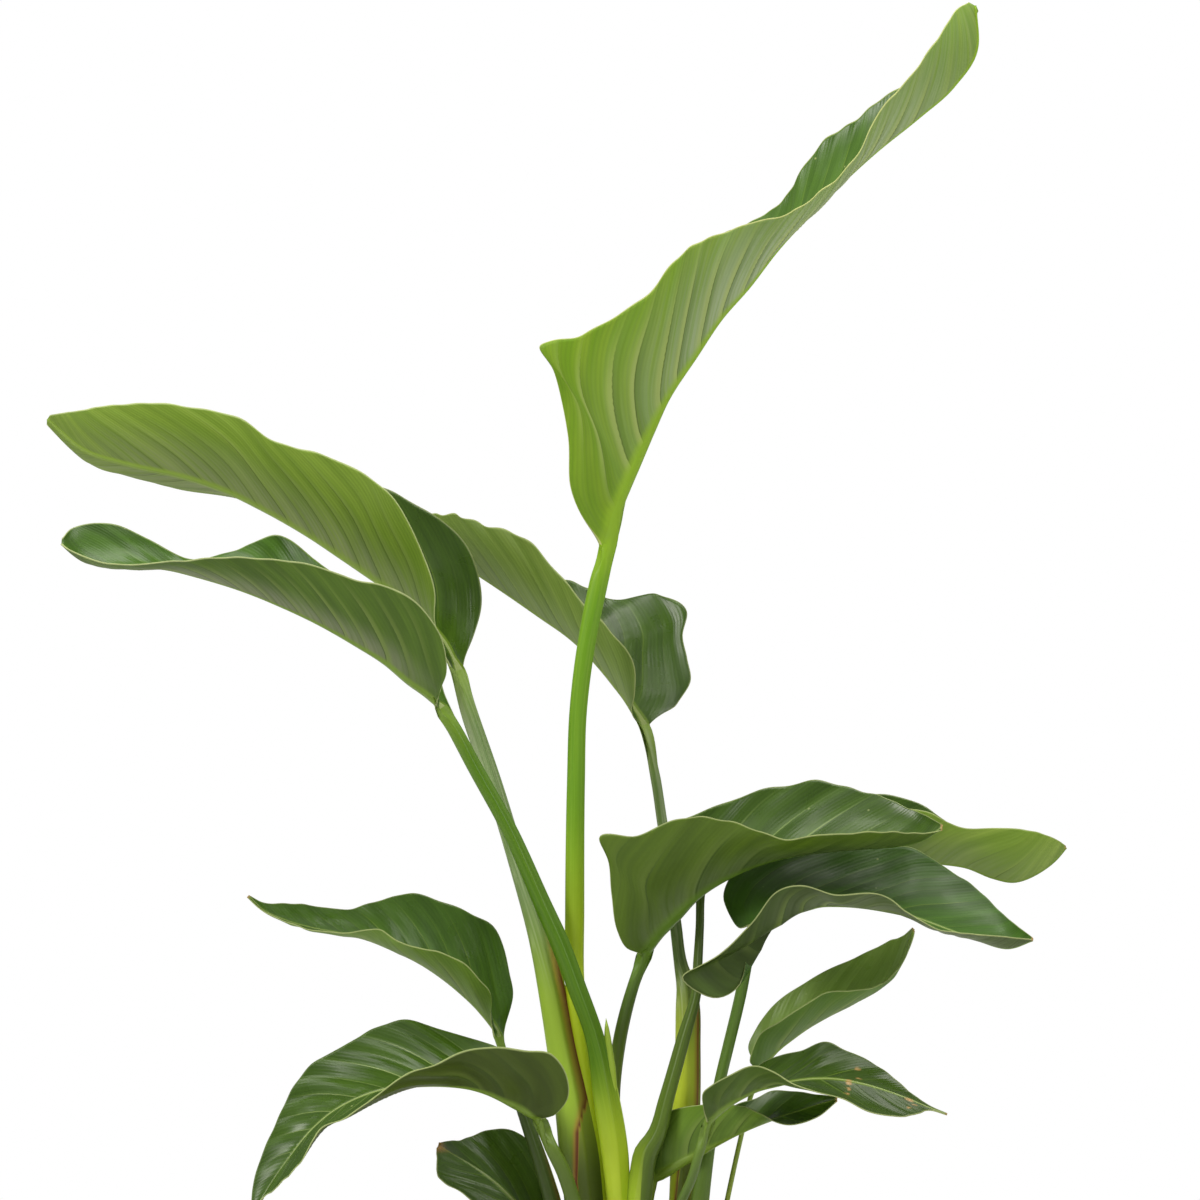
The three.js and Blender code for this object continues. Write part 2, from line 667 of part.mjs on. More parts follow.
/** Upper-side points of one half of a blade at a station, from the margin to the midrib. */
function wingPoints(edge, margin, tangent, facing, ripple) {
  const across = margin.clone().sub(edge);
  const up = tangent.clone().cross(across.clone().normalize()).multiplyScalar(facing);
  return WING_SHARES.map((share) => {
    const sag = WING_BULGE * across.length() * 4 * share * (1 - share);
    const point = edge.clone().lerp(margin, share);
    return along(point, up, ripple * share * share - sag);
  });
}

/** The blade's upper rows and the midrib's shape, station by station. */
function bladeTop(leaf, line, frames) {
  const first = line.stalk.length;
  const ribPoints = line.points.slice(first);
  const shares = sharesOf(ribPoints);
  const width = leaf.stalk[leaf.stalk.length - 1][3];
  return leaf.blade.map(([, , , nx, ny, nz, fx, fy, fz], i) => {
    const { side, up } = frames[first + i];
    const rib = ribPoints[i];
    const narrowing = Math.exp(-RIB_TAPER * shares[i]);
    const halfWidth = Math.max(RIB_TIP_HALF_WIDTH, width * narrowing);
    const depth = Math.max(RIB_TIP_DEPTH, width * STALK_DEPTH_SHARE * narrowing);
    const crown = along(rib, up, depth * RIB_EDGE_SHARE);
    const nearEdge = along(crown, side, halfWidth);
    const farEdge = along(crown, side, -halfWidth);
    const swell = Math.sin(Math.PI * shares[i]);
    const nearRipple = RIPPLE_HEIGHT * swell * Math.sin(RIPPLE_TURN * i);
    const farRipple = RIPPLE_HEIGHT * swell * Math.sin(RIPPLE_TURN * i + FAR_RIPPLE_LAG);
    const tangent = line.tangents[first + i];
    const near = wingPoints(nearEdge, vec(nx, ny, nz), tangent, leaf.leans, nearRipple);
    const far = wingPoints(farEdge, vec(fx, fy, fz), tangent, -leaf.leans, farRipple);
    return {
      rib,
      side,
      up,
      halfWidth,
      depth,
      row: [...near, nearEdge, along(rib, up, depth * RIB_TOP_SHARE), farEdge, ...far.reverse()],
    };
  });
}

/** Upward unit normals of the rows' points, from the faces round each. */
function rowNormals(rows, facing) {
  const normals = rows.map((row) => row.map(() => vec(0, 0, 0)));
  for (let i = 0; i + 1 < rows.length; i++) {
    for (let k = 0; k + 1 < HALF_RING; k++) {
      const step = rows[i + 1][k + 1].clone().sub(rows[i][k]);
      const cross = rows[i + 1][k].clone().sub(rows[i][k + 1]);
      const normal = step.cross(cross).multiplyScalar(facing);
      for (const [p, q] of [[i, k], [i + 1, k], [i, k + 1], [i + 1, k + 1]]) {
        normals[p][q].add(normal);
      }
    }
  }
  return normals.map((row) => row.map((normal) => normal.normalize()));
}

/** Rings of the blade: the top rows, and a plate's thickness and the midrib's keel below them. */
function bladeRings(leaf, line, frames) {
  const stations = bladeTop(leaf, line, frames);
  const normals = rowNormals(stations.map((station) => station.row), leaf.leans);
  const wing = WING_SHARES.length;
  return stations.map(({ rib, side, up, halfWidth, depth, row }, i) => {
    const under = row.map((point, k) => along(point, normals[i][k], -BLADE_THICKNESS));
    const flank = along(rib, up, -depth * RIB_FLANK_SHARE);
    under[wing] = along(flank, side, halfWidth);
    under[wing + 1] = along(rib, up, -depth * RIB_BELOW_SHARE);
    under[wing + 2] = along(flank, side, -halfWidth);
    return [...row, ...under.reverse()];
  });
}

/** A whole leaf, sheath to tip, as one solid. */
function leafSolid(leaf) {
  const line = lineOf(leaf);
  const frames = framesOf(leaf, line);
  const stalkRings = line.stalk.map(([, , , halfWidth], i) => {
    const depth = halfWidth * STALK_DEPTH_SHARE;
    return stalkRing(line.points[i], frames[i], halfWidth, depth, depth * CHANNEL_SHARE);
  });
  const solid = skinRings([...stalkRings, ...bladeRings(leaf, line, frames)]);
  return leaf.spur ? solid.add(taper(leaf.spur)) : solid;
}

/** A round tapering rod through [x, y, z, radius] points. */
function taper(rod) {
  const points = rod.map(([x, y, z]) => vec(x, y, z));
  const tangents = tangentsOf(points);
  return skinRings(
    points.map((point, i) => {
      const side = squareTo(tangents[i], vec(1, 0, 0));
      const frame = { side, up: tangents[i].clone().cross(side) };
      return stalkRing(point, frame, rod[i][3], rod[i][3], 0);
    }),
  );
}

/** The room a stalk needs, to cut out of what lies round it. */
function stalkRoom(leaf) {
  const line = lineOf(leaf);
  const frames = framesOf(leaf, line);
  const rings = line.stalk.map(([, , , halfWidth], i) => {
    const wide = halfWidth + HOLE_CLEARANCE;
    const deep = halfWidth * STALK_DEPTH_SHARE + HOLE_CLEARANCE;
    const centre = line.points[i].clone();
    if (i === 0) {
      centre.z -= HOLE_CLEARANCE;
    }
    return stalkRing(centre, frames[i], wide, deep, 0);
  });
  return skinRings(rings);
}

// ---- Pot and soil ----

/** Outside radius of the pot's wall, under the rim band, at a height. */
function wallRadius(height) {
  const top = POT_RIM_RADIUS - RIM_BAND_STEP;
  return POT_FOOT_RADIUS + ((top - POT_FOOT_RADIUS) * height) / POT_HEIGHT;
}

function potSolid() {
  const bandFoot = POT_HEIGHT - RIM_BAND_HEIGHT;
  const lip = wallRadius(POT_HEIGHT) - POT_WALL;
  const profile = [
    [0, 0],
    [POT_FOOT_RADIUS - FOOT_ROUND, 0],
    [POT_FOOT_RADIUS - FOOT_ROUND * ROUND_MIDDLE, FOOT_ROUND * ROUND_MIDDLE],
    [wallRadius(FOOT_ROUND), FOOT_ROUND],
    [wallRadius(bandFoot - RIM_BAND_STEP), bandFoot - RIM_BAND_STEP],
    [POT_RIM_RADIUS - RIM_ROUND, bandFoot],
    [POT_RIM_RADIUS, bandFoot + RIM_ROUND],
    [POT_RIM_RADIUS, POT_HEIGHT - RIM_ROUND],
    [POT_RIM_RADIUS - RIM_ROUND, POT_HEIGHT],
    [lip + RIM_ROUND, POT_HEIGHT],
    [lip, POT_HEIGHT - RIM_ROUND],
    [wallRadius(POT_FLOOR) - POT_WALL, POT_FLOOR],
    [0, POT_FLOOR],
  ];
  let pot = lathe(profile, POT_SEGMENTS);
  const drill = [
    [0, -POT_FLOOR],
    [DRAIN_HOLE_RADIUS, -POT_FLOOR],
    [DRAIN_HOLE_RADIUS, 2 * POT_FLOOR],
    [0, 2 * POT_FLOOR],
  ];
  for (let hole = 0; hole < DRAIN_HOLES; hole++) {
    const turn = (2 * Math.PI * hole) / DRAIN_HOLES;
    const x = DRAIN_CIRCLE_RADIUS * Math.cos(turn);
    const y = DRAIN_CIRCLE_RADIUS * Math.sin(turn);
    pot = pot.subtract(lathe(drill, DRAIN_SEGMENTS).translate([x, y, 0]));
  }
  return pot;
}

/** The potful of soil, mounded a little, with a plain hole for every stalk. */
function soilSolid() {
  const inner = (height) => wallRadius(height) - POT_WALL - FIT_GAP;
  const bottom = POT_FLOOR + FIT_GAP;
  const profile = [
    [0, bottom],
    [inner(bottom), bottom],
    [inner(SOIL_TOP), SOIL_TOP],
  ];
  for (let ring = 1; ring <= SOIL_RINGS; ring++) {
    const inward = ring / SOIL_RINGS;
    const rise = SOIL_MOUND * Math.sin((Math.PI / 2) * inward);
    profile.push([inner(SOIL_TOP) * (1 - inward), SOIL_TOP + rise]);
  }
  let soil = lathe(profile, POT_SEGMENTS);
  for (const leaf of LEAVES) {
    soil = soil.subtract(stalkRoom(leaf));
  }
  return soil;
}

// ---- Assembly ----

const root = new THREE.Group();
root.name = "potted_bird_of_paradise";

root.add(meshOf("pot", potSolid(), { color: 0x26282a, roughness: 0.62 }));
root.add(meshOf("soil", soilSolid(), { color: 0x2e2119, roughness: 0.95 }));

for (const leaf of LEAVES) {
  let solid = leafSolid(leaf);
  for (const inner of SHEATHED_BY[leaf.name] ?? []) {
    solid = solid.subtract(stalkRoom(LEAVES.find(({ name }) => name === inner)));
  }
  root.add(meshOf(leaf.name, solid, leaf.finish));
}

export default root;
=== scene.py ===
"""Dresses a potted bird of paradise: leaves with ribs, pleats and veins, potting soil and a pot.

Each leaf is lofted again from the stations that its solid has, in finer steps, so its form is kept.
Lengths in the tables are millimetres; every mesh is in metres in the frame's axes, +Z up.
"""

import logging
import math
import random
from collections.abc import Iterable
from dataclasses import dataclass, field
from enum import Enum, IntEnum

import bmesh
import bpy
import numpy as np
from mathutils import Euler, Matrix, Vector, noise


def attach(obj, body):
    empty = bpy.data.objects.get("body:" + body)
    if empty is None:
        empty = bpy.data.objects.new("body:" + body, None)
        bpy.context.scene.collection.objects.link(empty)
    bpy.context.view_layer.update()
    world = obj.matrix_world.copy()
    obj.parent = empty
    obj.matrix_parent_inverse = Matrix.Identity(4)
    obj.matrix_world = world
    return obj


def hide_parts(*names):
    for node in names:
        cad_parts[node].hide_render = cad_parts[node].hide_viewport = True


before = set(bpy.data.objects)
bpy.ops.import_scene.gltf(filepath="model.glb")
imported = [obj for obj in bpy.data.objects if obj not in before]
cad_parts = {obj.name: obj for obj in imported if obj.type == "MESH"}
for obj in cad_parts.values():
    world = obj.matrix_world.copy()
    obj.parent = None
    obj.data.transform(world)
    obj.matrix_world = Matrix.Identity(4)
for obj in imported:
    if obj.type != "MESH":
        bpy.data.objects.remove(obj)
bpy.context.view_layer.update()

LOG = logging.getLogger("plant")
MM = 0.001

Triple = tuple[float, float, float]
Span = tuple[float, float]
Mesh = bmesh.types.BMesh
Tree = bpy.types.NodeTree
Node = bpy.types.Node
Socket = bpy.types.NodeSocket
Material = bpy.types.Material
Piece = bpy.types.Object


# ---- Helpers ----


def linear(hex_colour: str) -> tuple[float, float, float, float]:
    """Turns an sRGB hex colour to linear RGBA.

    Args:
        hex_colour: Six hex digits, such as "3f6e27".

    Returns:
        Red, green, blue and an alpha of 1.
    """
    channels = [int(hex_colour[i : i + 2], 16) / 255 for i in (0, 2, 4)]
    turned = [c / 12.92 if c <= 0.04045 else ((c + 0.055) / 1.055) ** 2.4 for c in channels]
    return (turned[0], turned[1], turned[2], 1.0)


def add_node(tree: Tree, kind: str, inputs: dict | None = None, **settings: object) -> Node:
    """Adds a node with its settings and links.

    Args:
        tree: The node tree to add to.
        kind: The node's class, without its "ShaderNode" start.
        inputs: Input name or number to a value, or to the output that feeds it.
        **settings: Properties of the node.

    Returns:
        The new node.
    """
    node = tree.nodes.new("ShaderNode" + kind)
    for name, value in settings.items():
        setattr(node, name, value)
    for name, value in (inputs or {}).items():
        if isinstance(value, Socket):
            tree.links.new(value, node.inputs[name])
        else:
            node.inputs[name].default_value = value
    return node


@dataclass(frozen=True)
class Fade:
    """A measure on the surface, read smoothly as a share: at_low up to low, at_high from high."""

    measure: Socket | str  # an output, or the name of one of the mesh's own attributes
    low: float = 0.0
    high: float = 1.0
    at_low: float = 0.0
    at_high: float = 1.0


class Coat:
    """A colour that lies over those before it, as far as its fades together let it."""

    def __init__(self, colour: str, *fades: Fade | Socket | str) -> None:
        """Keeps the colour and its fades.

        Args:
            colour: The coat's colour, in hex.
            *fades: What faded() multiplies to the coat's share.
        """
        self.colour = colour
        self.fades = fades


def faded(tree: Tree, *fades: Fade | Socket | str) -> Socket:
    """Multiplies fades to one share.

    Args:
        tree: The node tree.
        *fades: The fades; a bare output or attribute name counts as it is.

    Returns:
        The share's output.
    """
    product = None
    for fade in fades:
        share = fade.measure if isinstance(fade, Fade) else fade
        if isinstance(share, str):
            share = add_node(tree, "Attribute", attribute_name=share).outputs["Fac"]
        if isinstance(fade, Fade):
            inputs = dict(enumerate((share, fade.low, fade.high, fade.at_low, fade.at_high)))
            share = add_node(tree, "MapRange", inputs, interpolation_type="SMOOTHSTEP").outputs[0]
        if product is not None:
            share = add_node(tree, "Math", {0: product, 1: share}, operation="MULTIPLY").outputs[0]
        product = share
    return product


def painted(tree: Tree, ground: str, coats: Iterable[Coat]) -> Socket:
    """Lays coats of colour over a ground.

    Args:
        tree: The node tree.
        ground: The first colour, in hex.
        coats: The coats, from the lowest up.

    Returns:
        The colour's output.
    """
    colour = linear(ground)
    for coat in coats:
        inputs = {0: faded(tree, *coat.fades), 6: colour, 7: linear(coat.colour)}
        colour = add_node(tree, "Mix", inputs, data_type="RGBA").outputs[2]
    return colour


def new_material(name: str) -> tuple[Material, Tree]:
    """Makes an empty node material.

    Args:
        name: The material's name.

    Returns:
        The material and its node tree.
    """
    material = bpy.data.materials.new(name)
    material.use_nodes = True
    material.node_tree.nodes.clear()
    return material, material.node_tree


@dataclass(frozen=True)
class Grain:
    """Relief too fine for the mesh: the output of its height, its strength and depth in metres."""

    height: Socket
    strength: float
    depth: float


def finish_material(
    tree: Tree,
    colour: Socket | tuple[float, ...],
    roughness: Socket | float,
    ior: float,
    *grains: Grain,
) -> None:
    """Adds the fine relief, the surface shader and the output.

    Args:
        tree: The material's node tree.
        colour: The colour's output, or a linear colour.
        roughness: The roughness, or its output.
        ior: Index of refraction.
        *grains: The fine relief, the finest first.
    """
    inputs = {"Base Color": colour, "Roughness": roughness, "IOR": ior}
    for grain in grains:
        bump = {"Height": grain.height, "Strength": grain.strength, "Distance": grain.depth}
        if "Normal" in inputs:
            bump["Normal"] = inputs["Normal"]
        inputs["Normal"] = add_node(tree, "Bump", bump).outputs[0]
    shader = add_node(tree, "BsdfPrincipled", inputs)
    add_node(tree, "OutputMaterial", {"Surface": shader.outputs[0]})


def placed(name: str, data: bpy.types.ID) -> Piece:
    """Puts data into the scene.

    Args:
        name: The new object's name.
        data: Its mesh, light or camera.

    Returns:
        The new object, at the origin.
    """
    holder = bpy.data.objects.new(name, data)
    bpy.context.scene.collection.objects.link(holder)
    return holder


def object_from(bm: Mesh, name: str, materials: Iterable[Material]) -> Piece:
    """Turns a finished bmesh into an object at the origin.

    Args:
        bm: The mesh; it is freed.
        name: The piece's name.
        materials: Its materials, in slot order.

    Returns:
        The new object.
    """
    mesh = bpy.data.meshes.new(name)
    bm.to_mesh(mesh)
    bm.free()
    for material in materials:
        mesh.materials.append(material)
    return placed(name, mesh)


def plant_piece(bm: Mesh, name: str, materials: Iterable[Material]) -> Piece:
    """Turns a finished bmesh into a smooth object that rides on the plant.

    Args:
        bm: The mesh; it is freed.
        name: The piece's name.
        materials: Its materials, in slot order.

    Returns:
        The new object.
    """
    for face in bm.faces:
        face.smooth = True
    piece = object_from(bm, name, materials)
    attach(piece, "root")
    return piece


def face_outwards(bm: Mesh) -> None:
    """Turns the faces of a closed mesh outwards.

    Args:
        bm: The mesh.
    """
    bmesh.ops.recalc_face_normals(bm, faces=bm.faces)
    if bm.calc_volume(signed=True) < 0:
        bmesh.ops.reverse_faces(bm, faces=bm.faces)


def spun(bm: Mesh, outline: Iterable[Span], steps: int) -> list[bmesh.types.BMVert]:
    """Turns an outline once round +Z and closes its poles.

    Args:
        bm: The mesh to add to.
        outline: Radius and height of each corner, in metres.
        steps: Steps of the whole turn.

    Returns:
        The new vertices.
    """
    old = set(bm.verts)
    corners = [bm.verts.new((radius, 0, height)) for radius, height in outline]
    edges = [bm.edges.new(pair) for pair in zip(corners, corners[1:])]
    bmesh.ops.spin(
        bm,
        geom=corners + edges,
        axis=(0, 0, 1),
        cent=(0, 0, 0),
        angle=2 * math.pi,
        steps=steps,
        use_merge=True,
    )
    bmesh.ops.remove_doubles(bm, verts=[v for v in bm.verts if v not in old], dist=1e-6)
    return [vert for vert in bm.verts if vert not in old]


def unit(vectors: np.ndarray) -> np.ndarray:
    """Scales vectors along the last axis to length 1."""
    return vectors / np.maximum(np.linalg.norm(vectors, axis=-1, keepdims=True), 1e-12)


def smooth_share(values: np.ndarray, low: float, high: float) -> np.ndarray:
    """Rises smoothly from 0 at low to 1 at high."""
    share = np.clip((values - low) / (high - low), 0, 1)
    return share * share * (3 - 2 * share)


def spline(knots: np.ndarray, values: np.ndarray, samples: np.ndarray) -> np.ndarray:
    """Runs a smooth curve through values at unevenly spaced knots.

    Args:
        knots: Rising positions, one for each value.
        values: Array whose first axis runs over the knots.
        samples: Positions to read, within the knots.

    Returns:
        The values at the samples.
    """
    gaps = np.diff(knots)
    shape = (-1,) + (1,) * (values.ndim - 1)
    slopes = np.diff(values, axis=0) / gaps.reshape(shape)
    before, after = gaps[:-1].reshape(shape), gaps[1:].reshape(shape)
    middle = (slopes[:-1] * after + slopes[1:] * before) / (before + after)
    slope = np.concatenate([slopes[:1], middle, slopes[-1:]])
    at = np.clip(np.searchsorted(knots, samples, side="right") - 1, 0, len(gaps) - 1)
    width = gaps[at].reshape(shape)
    t = (samples - knots[at]).reshape(shape) / width
    t2, t3 = t * t, t * t * t
    return (
        values[at] * (2 * t3 - 3 * t2 + 1)
        + values[at + 1] * (3 * t2 - 2 * t3)
        + slope[at] * width * (t3 - 2 * t2 + t)
        + slope[at + 1] * width * (t3 - t2)
    )


# ---- The leaves' own measures ----


class Lean(Enum):
    """Which way a leaf leans, seen from -Y; it decides which side of the blade is the upper one."""

    LEFT = 1
    RIGHT = -1


@dataclass(frozen=True)
class LeafPlan:
    """One leaf's line and margins, in millimetres.

    stalk holds x, y, z and half width from the soil up; blade holds the midrib's, the near margin's
    and the far margin's x, y, z from the base to the tip; spur is a dry sheath tip on the stalk.
    """

    name: str
    leans: Lean
    stalk: tuple[tuple[float, ...], ...]
    blade: tuple[tuple[float, ...], ...]
    spur: tuple[tuple[float, ...], ...] = ()
    sheath_top: float = 340.0  # height to which the stalk's foot clasps the others
    sheath_joint: float = 250.0  # height at which the sheath's two margins meet
    seam_softness: float = 24.0  # width of the dark seam above the joint, in degrees
    dry_tip: float = 0.004  # share of the blade that is brown at its tip
    spots: tuple[Triple, ...] = ()  # brown spots: share along, share across, radius in millimetres
    pleat_height: float = 1.0
    crinkle: float = 0.5  # waves of the margins, out of the blade and in it


